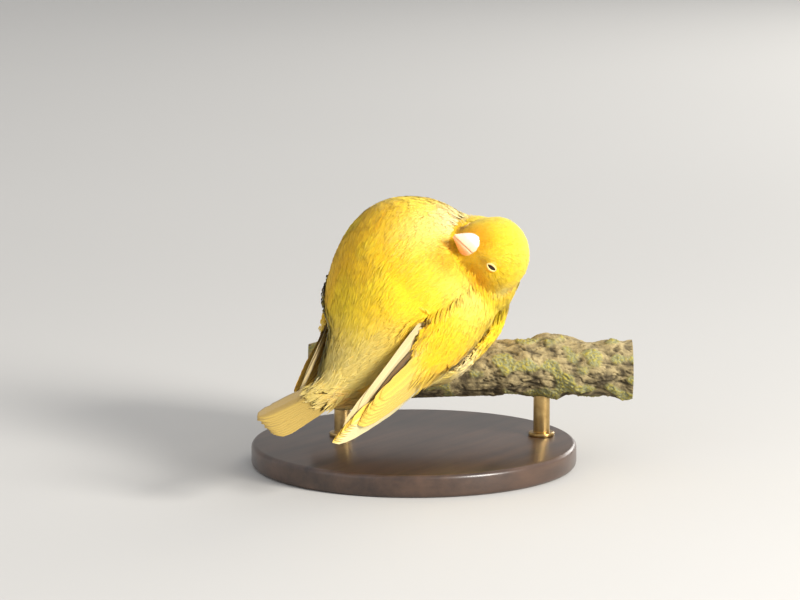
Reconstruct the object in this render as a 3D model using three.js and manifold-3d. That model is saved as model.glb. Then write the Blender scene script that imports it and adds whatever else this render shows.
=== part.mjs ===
// Life-size still model of a dozing, fluffed-up canary on a cut length of branch, held by a plain display stand.
// Millimetres, +Z up. The bird's breast faces +X and its left side +Y. The origin is the middle of the base's underside.
import * as THREE from "three";
import { mergeVertices } from "three/addons/utils/BufferGeometryUtils.js";
import Module from "manifold-3d";

const wasm = await Module();
wasm.setup();

const v3 = (x, y, z) => new THREE.Vector3(x, y, z);

// Driving sizes of the pose
const GAP = 0.3;
const BASE_RADIUS = 43;
const BASE_HEIGHT = 6;
const BODY_CENTRE = v3(0, 0, 46);
const PERCH_TURN = THREE.MathUtils.degToRad(-55);
const PERCH_RADIUS = 7.6;
const PERCH_OFFSET = 7;
const PERCH_DROP = 22.3;
const PERCH_LEFT = 28;
const PERCH_RIGHT = 58;
const ROD_RADIUS = 2.2;
const ROD_PLACES = [-19, 34];

// Head: the middle between the eyes, from the body's centre, and the way the bill and the crown point
const HEAD_PLACE = v3(8.1, -16.3, 11.6);
const HEAD_FORWARD = v3(-0.859, -0.089, 0.499).normalize();
const HEAD_UP = v3(0.408, -0.704, 0.581);
const NECK_PLACE = v3(14, -9.5, 5.5);
const NECK_RADII = v3(13.8, 13.2, 14.8);
const EYE_RADIUS = 2.6;
const EYE_PLACE = v3(1.0, 5.0, 0.2);
const LID_THICKNESS = 0.75;
const LID_OPENING = 1.0;
const BILL_BASE = 6.0;
const BILL_TIP = 14.0;
const BILL_HALF_WIDTH = 3.4;
const CULMEN_HEIGHT = 2.3;
const GAPE_HEIGHT = -1.6;
const GONYS_HEIGHT = -5.2;
const BILL_DROOP = -2.4;

// Wings: the bend and the tip from the body's centre, how far the wing bows out round the body between them, at what
// place along it most, and over what length
const WINGS = {
  right: { side: -1, bend: v3(12, -15.2, -10), tip: v3(-54.5, -15.2, -29.8), bow: 1.5, bowPlace: 35, bowSpread: 28 },
  left: { side: 1, bend: v3(14, 18, -6), tip: v3(-52, 4.8, -27.5), bow: 4.2, bowPlace: 20, bowSpread: 18 },
};
const WING_LENGTH = 70;

// A wing's curves: the radius that it curls round the body with from its middle line, the share of that curl left near
// its tip, where along the wing the curl fades, and how deep its lower edge bulges
const WING_CROWN = 22;
const WING_MIDDLE = 9;
const TIP_CURL = 0.3;
const CURL_FADE = { from: 20, to: 60 };
const WING_BELLY = 3.5;

// Feathers
const VANE_THICKNESS = 0.5;
const FEATHER_SEED = 7;
const LENGTH_VARIATION = 0.5;
const WIDTH_VARIATION = 0.04;

// Tail
const TAIL_ROOT = v3(-27, 0, -18.3);
const TAIL_AIM = v3(-48.6, -5, -5.8).normalize();
const TAIL_LENGTH = 45.5;
const TAIL_ROLL = THREE.MathUtils.degToRad(40);

// Legs
const LEG_PLACE = 3;
const LEG_SPREAD = 7;
const TOE_RADIUS = 1.0;
const TOE_TAPER = [1.15, 1.0, 0.95, 0.9, 0.85, 0.6, 0.4, 0.15];
const FRONT_TOES = [
  { splay: -0.42, length: 9, claw: 4.5 },
  { splay: 0, length: 12.5, claw: 4.5 },
  { splay: 0.42, length: 10, claw: 4.5 },
];
const HIND_TOE = { splay: 0.1, length: 9, claw: 5.5 };
const SOLE_RADII = v3(1.9, 1.9, 1.3);
const SHANK_RADII = [1.1, 1.0, 1.2];
const FOOT_ROOM = 3.5;

// Lumps of the bark: height, place along the branch, half length, turn round it, narrowness
const KNOT = { height: 1.6, along: 37, reach: 4.7, turn: 1.2, narrow: 5 };
const TWIG_STUB = { height: 1.3, along: -21, reach: 3.5, turn: 4.2, narrow: 6 };

// Stations along the trunk: place, centre height, half width, height above, height below
const TRUNK = [
  [-39, -20.5, 3.0, 2.6, 2.6],
  [-36.5, -20.2, 7.0, 6.0, 6.0],
  [-29, -16.5, 11.2, 11.8, 10.8],
  [-20, -9.5, 16.4, 21.8, 17.5],
  [-8, -2.5, 21.4, 27.4, 23.0],
  [4, 0, 22.2, 26.0, 25.0],
  [14, 0, 20.4, 22.2, 23.8],
  [22, -2.2, 16.4, 16.6, 18.2],
  [27.6, -3.4, 10.2, 10.6, 11.4],
  [30.2, -3.8, 1.8, 2.0, 2.2],
];

// How far the back of the trunk leans to the left: shift, place along, half length
const LEAN = { shift: 1.3, along: -10, reach: 14 };

// Where the trunk is pressed in by the resting head, and fluffed out over the right thigh: place along, half length,
// turn round the trunk, half turn, depth as a share of the radius
const HOLLOW = { along: 2, reach: 15, turn: 2.5, spread: 0.62, depth: 0.2 };
const FLUFF = { along: -1, reach: 8, turn: 4.05, spread: 0.4, depth: -0.11 };

// Stations along the head from nape to bill: place, centre height, half width, height above, height below
const SKULL = [
  [-14.2, -0.6, 2.8, 2.8, 2.8],
  [-12.5, -0.5, 6.8, 7.0, 6.8],
  [-8, -0.3, 10.0, 10.6, 10.2],
  [-2.5, 0, 10.2, 11.4, 10.0],
  [1.5, 0, 8.3, 10.2, 8.7],
  [4.8, -0.4, 6.4, 6.6, 6.8],
  [7.0, -1.2, 4.4, 4.0, 4.6],
  [8.2, -1.5, 2.2, 1.8, 2.2],
];

// Stations along the room that a folded wing fills, from the bend: place, lower edge, upper edge, depth in, depth out
const WING_ROOM = [
  [-5.5, 3.5, 12, 1.8, 2.4],
  [-3, 0.8, 14.8, 2.9, 3.8],
  [2, -0.6, 17.4, 3.3, 5.0],
  [12, -0.8, 18.4, 3.4, 5.4],
  [26, -1.2, 18.8, 3.7, 4.2],
  [38, -1.4, 18.0, 3.4, 3.4],
  [50, -1.4, 14.2, 3.2, 3.0],
  [60, -1.4, 9.2, 2.9, 2.4],
  [WING_LENGTH + 1, -1.0, 4.2, 2.4, 1.2],
];

// Stations along the fleshy part that the wing's feathers are rooted in, with the same columns
const WING_ARM = [
  [-4, 5, 10, 0.8, 0.8],
  [-2.5, 2.6, 13, 2.0, 2.0],
  [2, 1.2, 15.8, 2.5, 2.3],
  [10, 0.8, 17, 2.7, 2.3],
  [18, 1.0, 16.4, 2.5, 1.8],
  [23, 2.5, 13.5, 1.6, 0.9],
];

// Tiers of a wing's feathers, each from its lowest to its highest feather: how many, half a vane's width, the tilt
// of a vane to the wing, how far it arches up, and where root and tip lie along the wing, across it and out from its
// middle sheet
const WING_TIERS = {
  primaries: {
    count: 6,
    half: 2.1,
    tilt: 0.4,
    roots: [v3(19, 2.6, -2.0), v3(20, 9.4, 0.0)],
    tips: [v3(70, 0.8, -1.6), v3(59, 4.8, 0.6)],
  },
  tertials: {
    count: 2,
    half: 1.6,
    tilt: 0.3,
    arch: 3.4,
    roots: [v3(13, 15.0, -0.9), v3(12, 16.0, -0.5)],
    tips: [v3(65, 3.4, -1.3), v3(60, 5.8, -0.9)],
  },
  secondaries: {
    count: 6,
    half: 2.4,
    tilt: 0.5,
    roots: [v3(18, 8.8, 1.1), v3(11, 16.2, 1.4)],
    tips: [v3(56, 6.4, 1.6), v3(41, 13.6, 2.0)],
  },
  greaterCoverts: {
    count: 5,
    half: 2.2,
    tilt: 0.5,
    roots: [v3(9, 3.4, 0.8), v3(5, 14.6, 1.6)],
    tips: [v3(28, 2.8, 0.6), v3(21, 14.0, 3.9)],
  },
  medianCoverts: {
    count: 4,
    half: 2.1,
    tilt: 0.45,
    roots: [v3(1, 3.6, 1.4), v3(-1, 13.0, 1.4)],
    tips: [v3(15, 3.4, 2.4), v3(11, 13.4, 4.3)],
  },
};

// Stations along the room that the tail fills, and along the part that its feathers are rooted in: place, half width,
// thickness
const TAIL_ROOM = [
  [0, 3.4, 5.0],
  [6, 5.0, 8.0],
  [16, 5.6, 8.8],
  [28, 5.8, 8.0],
  [38, 6.2, 5.6],
  [TAIL_LENGTH, 6.4, 5.2],
];
const TAIL_STUMP = [
  [0, 2.8, 4.0],
  [5, 4.0, 6.2],
  [10, 4.2, 6.2],
  [14, 3.6, 5.0],
];

// Tail feathers: how many on each side, the height of the middle pair and the step from one layer down to the next,
// how much higher the topmost one lies, their tilt, the fork of the tip, and where the first feather's root and tip
// have their edges, with the step of each edge from one feather out to the next; a root lies at a share of the height
// of its tip
const TAIL_PAIRS = 5;
const TAIL_TOP = 1.3;
const TAIL_LAYER = 0.7;
const TAIL_OVERLAP = 0.8;
const TAIL_TILT = 0.25;
const TAIL_FORK = 2;
const TAIL_ROOT_PLACE = 4;
const TAIL_ROOT_RISE = 0.75;
const TAIL_ROOT_EDGES = { inner: 0.2, outer: 1.8, innerStep: 0, outerStep: 0.3 };
const TAIL_TIP_EDGES = { inner: 0.2, outer: 2.1, innerStep: 0.3, outerStep: 0.75 };

// Feathers over and under the tail's root: root and tip, for the middle one and for those beside it
const TAIL_COVERTS = {
  middle: { root: v3(3, 0, 2.2), tip: v3(24, 0, 4.0) },
  beside: { root: v3(3, 1.7, 2.2), tip: v3(20, 2.4, 3.2) },
  half: 1.9,
};

// Colours
const finish = (colour, roughness) => new THREE.MeshStandardMaterial({ color: colour, roughness, metalness: 0 });
const YELLOW = finish(0xf2c81c, 0.85);
const GOLD = finish(0xe8ae1a, 0.85);
const PALE = finish(0xf5de6a, 0.85);
const HORN = finish(0xecc3a4, 0.4);
const EYE = finish(0x1c120c, 0.1);
const FLESH = finish(0xd9a188, 0.6);
const BARK = finish(0x8c8064, 0.95);
const STAND = finish(0x2c2a28, 0.5);

// A value between stations, on one smooth curve through them.
function smooth(stations, column, u) {
  const last = stations.length - 1;
  const i = Math.min(Math.floor(u), last - 1);
  const t = u - i;
  const at = (k) => stations[THREE.MathUtils.clamp(k, 0, last)][column];
  const [a, b, c, d] = [at(i - 1), at(i), at(i + 1), at(i + 2)];
  const slopeB = (c - a) / 2;
  const slopeC = (d - b) / 2;
  const rise = c - b;
  return b + t * (slopeB + t * (3 * rise - 2 * slopeB - slopeC + t * (slopeB + slopeC - 2 * rise)));
}

// A solid from points and triangles that face out.
function solidOf(points, faces) {
  const vertProperties = new Float32Array(points.flatMap((p) => [p.x, p.y, p.z]));
  const triVerts = new Uint32Array(faces);
  return new wasm.Manifold(new wasm.Mesh({ numProp: 3, vertProperties, triVerts }));
}

// A closed skin over rings of points, each ring counted round the way it runs, closed by a fan at each end. On a flat
// form the far half of each ring is split the other way, so that both of its faces have the same folds.
function skinOver(rings, isFlat = false) {
  const sides = rings[0].length;
  const points = rings.flat();
  const faces = [];
  for (let i = 0; i + 1 < rings.length; i++) {
    for (let j = 0; j < sides; j++) {
      const a = i * sides + j;
      const b = i * sides + ((j + 1) % sides);
      if (isFlat && j >= sides / 2) faces.push(a, b, a + sides, b, b + sides, a + sides);
      else faces.push(a, b, b + sides, a, b + sides, a + sides);
    }
  }
  const middle = (ring) => ring.reduce((sum, p) => sum.add(p), v3(0, 0, 0)).divideScalar(sides);
  const start = points.push(middle(rings[0])) - 1;
  const end = points.push(middle(rings.at(-1))) - 1;
  const lastRing = (rings.length - 1) * sides;
  for (let j = 0; j < sides; j++) {
    const next = (j + 1) % sides;
    faces.push(start, next, j);
    faces.push(end, lastRing + j, lastRing + next);
  }
  return solidOf(points, faces);
}

// A solid from a three.js geometry, put in place by a matrix.
function solidFrom(geometry, matrix = new THREE.Matrix4()) {
  geometry.applyMatrix4(matrix);
  geometry.deleteAttribute("normal");
  geometry.deleteAttribute("uv");
  const merged = mergeVertices(geometry, 1e-4);
  const vertProperties = merged.attributes.position.array;
  const triVerts = new Uint32Array(merged.index.array);
  return new wasm.Manifold(new wasm.Mesh({ numProp: 3, vertProperties, triVerts }));
}

// The largest closed surface of a solid, without scraps and sealed hollows.
function largest(solid) {
  const pieces = solid.decompose();
  return pieces.reduce((best, piece) => (piece.volume() > best.volume() ? piece : best));
}

function meshOf(name, solid, material) {
  const made = largest(solid).getMesh();
  const geometry = new THREE.BufferGeometry();
  const position = new Float32Array(made.numVert * 3);
  for (let i = 0; i < made.numVert; i++) {
    const from = i * made.numProp;
    position.set(made.vertProperties.subarray(from, from + 3), i * 3);
  }
  geometry.setAttribute("position", new THREE.BufferAttribute(position, 3));
  geometry.setIndex(new THREE.BufferAttribute(made.triVerts, 1));
  const mesh = new THREE.Mesh(geometry, material);
  mesh.name = name;
  return mesh;
}

// A rounded body through stations, in a frame of its own, grown outwards where a neighbour is cut clear of it.
function loft(stations, frame, { sides = 32, steps = 3, grow = 0, dent = () => 0, sway = () => 0 }) {
  const rings = [];
  const count = (stations.length - 1) * steps;
  for (let i = 0; i <= count; i++) {
    const u = i / steps;
    const [x, z, width, above, below] = [0, 1, 2, 3, 4].map((k) => smooth(stations, k, u));
    const stretch = i === 0 ? -grow : i === count ? grow : 0;
    const ring = [];
    for (let j = 0; j < sides; j++) {
      const turn = (2 * Math.PI * j) / sides;
      const height = Math.sin(turn) > 0 ? above + grow : below + grow;
      const shrink = 1 - dent(x, turn);
      const y = shrink * (width + grow) * Math.cos(turn) + sway(x);
      const point = v3(x + stretch, y, z + shrink * height * Math.sin(turn));
      ring.push(point.applyMatrix4(frame));
    }
    rings.push(ring);
  }
  return skinOver(rings);
}

function ellipsoid(centre, radii, frame, grow = 0, segments = 24) {
  const matrix = frame.clone();
  matrix.multiply(new THREE.Matrix4().makeTranslation(centre.x, centre.y, centre.z));
  matrix.multiply(new THREE.Matrix4().makeScale(radii.x + grow, radii.y + grow, radii.z + grow));
  return solidFrom(new THREE.SphereGeometry(1, segments, segments / 2), matrix);
}

// A tapered round tube along a curve.
function tube(curve, radii, sides, steps) {
  const frames = curve.computeFrenetFrames(steps, false);
  const rings = [];
  for (let i = 0; i <= steps; i++) {
    const u = i / steps;
    const centre = curve.getPointAt(u);
    const radius = smooth(radii.map((r) => [r]), 0, u * (radii.length - 1));
    const ring = [];
    for (let j = 0; j < sides; j++) {
      const turn = (2 * Math.PI * j) / sides;
      const point = centre.clone();
      point.addScaledVector(frames.normals[i], radius * Math.cos(turn));
      point.addScaledVector(frames.binormals[i], radius * Math.sin(turn));
      ring.push(point);
    }
    rings.push(ring);
  }
  return skinOver(rings);
}

const bodyFrame = new THREE.Matrix4().makeTranslation(BODY_CENTRE.x, BODY_CENTRE.y, BODY_CENTRE.z);

// The head's frame: x to the bill, y to the bird's left eye, z to the crown.
function headFrameOf() {
  const up = HEAD_UP.clone().addScaledVector(HEAD_FORWARD, -HEAD_UP.dot(HEAD_FORWARD)).normalize();
  const left = up.clone().cross(HEAD_FORWARD);
  const frame = new THREE.Matrix4().makeBasis(HEAD_FORWARD, left, up);
  frame.setPosition(BODY_CENTRE.clone().add(HEAD_PLACE));
  return frame;
}
const headFrame = headFrameOf();

// The perch's frame: x along the branch to the right in the pose's main view, z up.
function perchFrameOf() {
  const along = v3(Math.cos(PERCH_TURN), Math.sin(PERCH_TURN), 0);
  const across = v3(-along.y, along.x, 0);
  const frame = new THREE.Matrix4().makeBasis(along, across, v3(0, 0, 1));
  const middle = BODY_CENTRE.clone().addScaledVector(across, PERCH_OFFSET);
  frame.setPosition(middle.setZ(BODY_CENTRE.z - PERCH_DROP));
  return frame;
}
const perchFrame = perchFrameOf();

// How far the branch swells or shrinks at a place along it, and round it; it stays slim under the feet.
function barkSwell(along, turn) {
  const clearOfFeet = THREE.MathUtils.smoothstep(Math.abs(along - LEG_PLACE), 14, 24);
  const lumps = 0.35 * Math.sin(along * 0.31 + 2 * turn) + 0.3 * Math.sin(along * 0.73 - 3 * turn);
  const heightOf = (lump) => {
    const near = -(((along - lump.along) / lump.reach) ** 2);
    return lump.height * Math.exp(near - (1 - Math.cos(turn - lump.turn)) * lump.narrow);
  };
  return clearOfFeet * (lumps + heightOf(KNOT) + heightOf(TWIG_STUB)) - 0.2;
}

function perchSolid(grow = 0) {
  const sides = 24;
  const steps = 26;
  const rings = [];
  for (let i = 0; i <= steps; i++) {
    const along = THREE.MathUtils.lerp(-PERCH_LEFT, PERCH_RIGHT, i / steps);
    const bow = 0.8 * Math.sin(along * 0.05);
    const ring = [];
    for (let j = 0; j < sides; j++) {
      const turn = (2 * Math.PI * j) / sides;
      const radius = PERCH_RADIUS + barkSwell(along, turn) + grow;
      ring.push(v3(along, radius * Math.cos(turn), bow + radius * Math.sin(turn)).applyMatrix4(perchFrame));
    }
    rings.push(ring);
  }
  return skinOver(rings);
}

// A point of a folded wing: along it, across it from the lower edge, and out from its middle sheet.
function wingPoint(wing, along, across, out) {
  const aim = wing.tip.clone().sub(wing.bend).normalize();
  const lift = v3(0, 0, 1).addScaledVector(aim, -aim.z).normalize();
  const outward = aim.clone().cross(lift).multiplyScalar(wing.side);
  const faded = (along - CURL_FADE.from) / (CURL_FADE.to - CURL_FADE.from);
  const round = THREE.MathUtils.lerp(1, TIP_CURL, THREE.MathUtils.clamp(faded, 0, 1));
  const sag = (-round * (across - WING_MIDDLE) ** 2) / (2 * WING_CROWN);
  const drop = WING_BELLY * Math.sin(Math.PI * THREE.MathUtils.clamp(along / WING_LENGTH, 0, 1));
  const bow = wing.bow * Math.exp(-(((along - wing.bowPlace) / wing.bowSpread) ** 2));
  const point = BODY_CENTRE.clone().add(wing.bend);
  point.addScaledVector(aim, along);
  point.addScaledVector(lift, across - drop);
  return point.addScaledVector(outward, out + sag + bow);
}

// A closed form through stations along a folded wing, with room round it where a neighbour keeps clear of it.
function wingForm(wing, stations, { room = 0, steps = 2, columns = 6 }) {
  const rings = [];
  const count = (stations.length - 1) * steps;
  for (let i = 0; i <= count; i++) {
    const [along, low, high, depthIn, depthOut] = [0, 1, 2, 3, 4].map((k) => smooth(stations, k, i / steps));
    const stretch = i === 0 ? -room : i === count ? room : 0;
    const ringOf = (k, face) => {
      const across = THREE.MathUtils.lerp(low - room, high + room, k / columns);
      const share = 0.6 + 0.4 * Math.sin((Math.PI * k) / columns) ** 0.5;
      const out = face > 0 ? depthOut * share + room : -depthIn * share - room;
      return wingPoint(wing, along + stretch, across, out);
    };
    const ring = [];
    for (let k = 0; k <= columns; k++) ring.push(ringOf(k, 1));
    for (let k = columns; k >= 0; k--) ring.push(ringOf(k, -1));
    rings.push(wing.side < 0 ? ring : ring.reverse());
  }
  return skinOver(rings);
}

// Repeatable small differences between feathers, from -1 to 1.
function variationFrom(seed) {
  let state = seed;
  return () => {
    state = (Math.imul(state, 1664525) + 1013904223) >>> 0;
    return (2 * state) / 2 ** 32 - 1;
  };
}

// A feather's vane from root to tip on a curved sheet, rounded at its tip, with one edge tilted up over its neighbour.
function vane(pointOn, { root, tip, half, tilt, arch = 0, isMirrored }) {
  const outline = [
    [0, 0.6, 1],
    [0.45, 1, 1],
    [0.88, 0.82, 1],
    [1, 0.16, 0.5],
  ];
  const rings = outline.map(([t, width, body]) => {
    const middle = root.clone().lerp(tip, t);
    middle.y += 4 * arch * t * (1 - t);
    const reach = half * width;
    const corner = (side, face) => {
      const out = middle.z - side * tilt * reach + (face * body * VANE_THICKNESS) / 2;
      return pointOn(middle.x, middle.y + side * reach, out);
    };
    const ring = [corner(-1, 1), corner(1, 1), corner(1, -1), corner(-1, -1)];
    return isMirrored ? ring.reverse() : ring;
  });
  return skinOver(rings, true);
}

function wingVanes(wing) {
  const vary = variationFrom(FEATHER_SEED);
  const pointOn = (along, across, out) => wingPoint(wing, along, across, out);
  const vanes = [];
  for (const { count, half, tilt, arch, roots, tips } of Object.values(WING_TIERS)) {
    for (let k = 0; k < count; k++) {
      const share = k / (count - 1);
      const root = roots[0].clone().lerp(roots[1], share);
      const tip = tips[0].clone().lerp(tips[1], share);
      if (k > 0) tip.x += LENGTH_VARIATION * vary();
      const ownHalf = half * (1 + WIDTH_VARIATION * vary());
      vanes.push(vane(pointOn, { root, tip, half: ownHalf, tilt, arch, isMirrored: wing.side > 0 }));
    }
  }
  return vanes;
}

// The tail's frame: x to the tip, y to the bird's left, z to its upper side.
function tailFrameOf() {
  const rolled = v3(0, Math.cos(TAIL_ROLL), Math.sin(TAIL_ROLL));
  const left = rolled.addScaledVector(TAIL_AIM, -rolled.dot(TAIL_AIM)).normalize();
  const right = left.clone().negate();
  const up = TAIL_AIM.clone().cross(right);
  const frame = new THREE.Matrix4().makeBasis(TAIL_AIM, right, up);
  frame.setPosition(BODY_CENTRE.clone().add(TAIL_ROOT));
  return frame;
}
const tailFrame = tailFrameOf();

const tailPoint = (along, left, up) => v3(along, left, up).applyMatrix4(tailFrame);

function tailForm(stations, room = 0) {
  const sides = 14;
  const steps = 2;
  const count = (stations.length - 1) * steps;
  const rings = [];
  for (let i = 0; i <= count; i++) {
    const [place, width, thick] = [0, 1, 2].map((k) => smooth(stations, k, i / steps));
    const along = place + (i === 0 ? -room : i === count ? room : 0);
    const ring = [];
    for (let j = 0; j < sides; j++) {
      const turn = (2 * Math.PI * j) / sides;
      const flat = Math.sign(Math.sin(turn)) * Math.abs(Math.sin(turn)) ** 0.7;
      ring.push(tailPoint(along, (width + room) * Math.cos(turn), (thick / 2 + room) * flat));
    }
    rings.push(ring);
  }
  return skinOver(rings);
}

// One of the long tail feathers, counted down and outwards from the middle pair; the first on the right lies on top.
function tailVane(side, layer) {
  const isTop = side < 0 && layer === 0;
  const up = TAIL_TOP - TAIL_LAYER * layer + (isTop ? TAIL_OVERLAP : 0);
  const edgesOf = ({ inner, outer, innerStep, outerStep }) => [
    isTop ? -1 : inner + innerStep * layer,
    outer + outerStep * layer,
  ];
  const middle = ([from, to]) => (side * (from + to)) / 2;
  const tipEdges = edgesOf(TAIL_TIP_EDGES);
  const root = v3(TAIL_ROOT_PLACE, middle(edgesOf(TAIL_ROOT_EDGES)), up * TAIL_ROOT_RISE);
  const tip = v3(TAIL_LENGTH - TAIL_FORK * (1 - layer / (TAIL_PAIRS - 1)), middle(tipEdges), up);
  const half = (tipEdges[1] - tipEdges[0]) / 2;
  return vane(tailPoint, { root, tip, half, tilt: -side * TAIL_TILT, isMirrored: true });
}

// One of the short feathers over and under the root of the tail, the middle one outermost.
function tailCovert(face, place) {
  const { root, tip } = place === 0 ? TAIL_COVERTS.middle : TAIL_COVERTS.beside;
  const turned = v3(1, place, face);
  const ends = { root: root.clone().multiply(turned), tip: tip.clone().multiply(turned) };
  return vane(tailPoint, { ...ends, half: TAIL_COVERTS.half, tilt: 0, isMirrored: true });
}

function tailSolid() {
  const vanes = [];
  for (const side of [1, -1]) {
    for (let layer = 0; layer < TAIL_PAIRS; layer++) vanes.push(tailVane(side, layer));
    for (const place of [-1, 0, 1]) vanes.push(tailCovert(side, place));
  }
  return vanes.reduce((whole, feather) => whole.add(feather), tailForm(TAIL_STUMP));
}

// One half of the bill, from inside its pocket in the face to the tip, flat along the mouth line.
function billHalf(isUpper, grow = 0) {
  const steps = 8;
  const arc = 8;
  const rings = [];
  for (let i = 0; i <= steps; i++) {
    const t = i / steps;
    const stretch = i === 0 ? -grow : i === steps ? grow : 0;
    const x = THREE.MathUtils.lerp(BILL_BASE - 2, isUpper ? BILL_TIP : BILL_TIP - 0.5, t) + stretch;
    const halfWidth = BILL_HALF_WIDTH * (1 - t ** 1.35) + 0.3 + grow;
    const mouth = THREE.MathUtils.lerp(GAPE_HEIGHT, BILL_DROOP + 0.1, t);
    const rim = isUpper ? mouth + GAP / 2 - grow : mouth - GAP / 2 + grow;
    const ridge = isUpper
      ? THREE.MathUtils.lerp(CULMEN_HEIGHT, BILL_DROOP + 0.5, t ** 1.4) + grow
      : THREE.MathUtils.lerp(GONYS_HEIGHT, BILL_DROOP - 0.5, t ** 0.9) - grow;
    const ring = [];
    for (let j = 0; j <= arc; j++) {
      const turn = (Math.PI * j) / arc + (isUpper ? 0 : Math.PI);
      const bow = Math.abs(Math.sin(turn)) ** 0.9;
      ring.push(v3(x, halfWidth * Math.cos(turn), rim + (ridge - rim) * bow).applyMatrix4(headFrame));
    }
    rings.push(ring);
  }
  return skinOver(rings);
}

function nostril(side) {
  return ellipsoid(v3(8.3, side * 2.0, 0.7), v3(0.7, 0.5, 0.4), headFrame, 0, 8);
}

function eyeBall(side, grow = 0, segments = 16) {
  const place = v3(EYE_PLACE.x, side * EYE_PLACE.y, EYE_PLACE.z);
  return ellipsoid(place, v3(EYE_RADIUS, EYE_RADIUS, EYE_RADIUS), headFrame, grow, segments);
}

// The almond between the lids, cut straight in from the side of the head.
function lidOpening(side) {
  const half = 1.75;
  const shape = new THREE.Shape();
  shape.moveTo(-half, 0);
  shape.quadraticCurveTo(0, 2 * LID_OPENING, half, 0);
  shape.quadraticCurveTo(0, -2 * LID_OPENING, -half, 0);
  const geometry = new THREE.ExtrudeGeometry(shape, { depth: 6, bevelEnabled: false, curveSegments: 6 });
  const turned = new THREE.Matrix4().makeRotationX(side > 0 ? -Math.PI / 2 : Math.PI / 2);
  turned.setPosition(EYE_PLACE.x, side * (EYE_PLACE.y + 1), EYE_PLACE.z);
  return solidFrom(geometry, headFrame.clone().multiply(turned));
}

function headSolid() {
  let head = loft(SKULL, headFrame, {});
  for (const side of [1, -1]) {
    head = head.add(eyeBall(side, GAP + LID_THICKNESS, 16));
  }
  for (const side of [1, -1]) {
    head = head.subtract(eyeBall(side, GAP)).subtract(lidOpening(side));
  }
  return head.subtract(billHalf(true, GAP)).subtract(billHalf(false, GAP));
}

// The room that the neck and the trunk keep free round the head and its lids.
function headRoom() {
  const skull = loft(SKULL, headFrame, { grow: GAP + 0.1 });
  return skull.add(eyeBall(1, 2 * GAP + LID_THICKNESS)).add(eyeBall(-1, 2 * GAP + LID_THICKNESS));
}

function neckForm(grow = 0) {
  return ellipsoid(NECK_PLACE, NECK_RADII, bodyFrame, grow, 20);
}

function wingSolid(wing) {
  const whole = wingVanes(wing).reduce((form, feather) => form.add(feather), wingForm(wing, WING_ARM, {}));
  return whole.subtract(headRoom()).subtract(neckForm(GAP));
}

const legPlace = (side) => LEG_PLACE - side * LEG_SPREAD;

// A toe that wraps the branch from its top, with the claw at its end.
function toe(place, heading, { splay, length, claw }) {
  const ring = PERCH_RADIUS + GAP + TOE_RADIUS;
  const reach = (length + claw) / ring;
  const points = [];
  for (let i = 0; i <= 7; i++) {
    const turn = (reach * i) / 7;
    const along = place + splay * turn * ring * 0.6;
    const lift = ring + 0.35 * Math.sin((Math.PI * i) / 3.5) ** 2;
    points.push(v3(along, heading * lift * Math.sin(turn), lift * Math.cos(turn)).applyMatrix4(perchFrame));
  }
  return tube(new THREE.CatmullRomCurve3(points), TOE_TAPER, 6, 9);
}

function shank(place, grow = 0) {
  const foot = v3(place, 0, PERCH_RADIUS + GAP + TOE_RADIUS + 0.4).applyMatrix4(perchFrame);
  const heel = v3(place, -4, PERCH_RADIUS + 5.5 + grow).applyMatrix4(perchFrame);
  return tube(new THREE.LineCurve3(foot, heel), SHANK_RADII.map((radius) => radius + grow), 8, 2);
}

function legSolid(side) {
  const place = legPlace(side);
  const sole = v3(place, 0, PERCH_RADIUS + GAP + TOE_RADIUS + 0.5);
  const leg = shank(place).add(ellipsoid(sole, SOLE_RADII, perchFrame, 0, 10));
  const gripping = FRONT_TOES.reduce((form, front) => form.add(toe(place, 1, front)), leg);
  return gripping.add(toe(place, -1, { ...HIND_TOE, splay: side * HIND_TOE.splay }));
}

const lean = (along) => LEAN.shift * Math.exp(-(((along - LEAN.along) / LEAN.reach) ** 2));

// How much the trunk is pressed in at a place along it and round it, as a share of its radius.
function trunkDent(along, turn) {
  const depthOf = (dent) => {
    const near = Math.exp(-(((along - dent.along) / dent.reach) ** 2));
    return dent.depth * near * Math.exp(-(((turn - dent.turn) / dent.spread) ** 2));
  };
  return depthOf(HOLLOW) + depthOf(FLUFF);
}

// The trunk, with pockets for what it meets: head, neck, wings, tail, legs and the branch under it.
function trunkSolid() {
  let trunk = loft(TRUNK, bodyFrame, { dent: trunkDent, sway: lean });
  trunk = trunk.subtract(headRoom()).subtract(neckForm(GAP));
  trunk = trunk.subtract(billHalf(true, 0.6)).subtract(billHalf(false, 0.6));
  for (const wing of Object.values(WINGS)) {
    trunk = trunk.subtract(wingForm(wing, WING_ROOM, { room: GAP }));
    trunk = trunk.subtract(shank(legPlace(wing.side), 2 * GAP));
  }
  return trunk.subtract(perchSolid(FOOT_ROOM)).subtract(tailForm(TAIL_ROOM, GAP));
}

function baseSolid() {
  const edge = 1.2;
  const profile = [
    [0, 0],
    [BASE_RADIUS - edge, 0],
    [BASE_RADIUS, edge],
    [BASE_RADIUS, BASE_HEIGHT - edge],
    [BASE_RADIUS - edge, BASE_HEIGHT],
    [0, BASE_HEIGHT],
  ].map(([radius, height]) => new THREE.Vector2(radius, height));
  return solidFrom(new THREE.LatheGeometry(profile, 64), new THREE.Matrix4().makeRotationX(Math.PI / 2));
}

// A rod from the base up to the underside of the branch.
function rodSolid(along) {
  const top = v3(along, 0, 0).applyMatrix4(perchFrame);
  const height = top.z - BASE_HEIGHT - GAP;
  const geometry = new THREE.CylinderGeometry(ROD_RADIUS, ROD_RADIUS, height, 20);
  const upright = new THREE.Matrix4().makeRotationX(Math.PI / 2);
  upright.setPosition(top.x, top.y, BASE_HEIGHT + GAP + height / 2);
  return solidFrom(geometry, upright).subtract(perchSolid(GAP));
}

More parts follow.
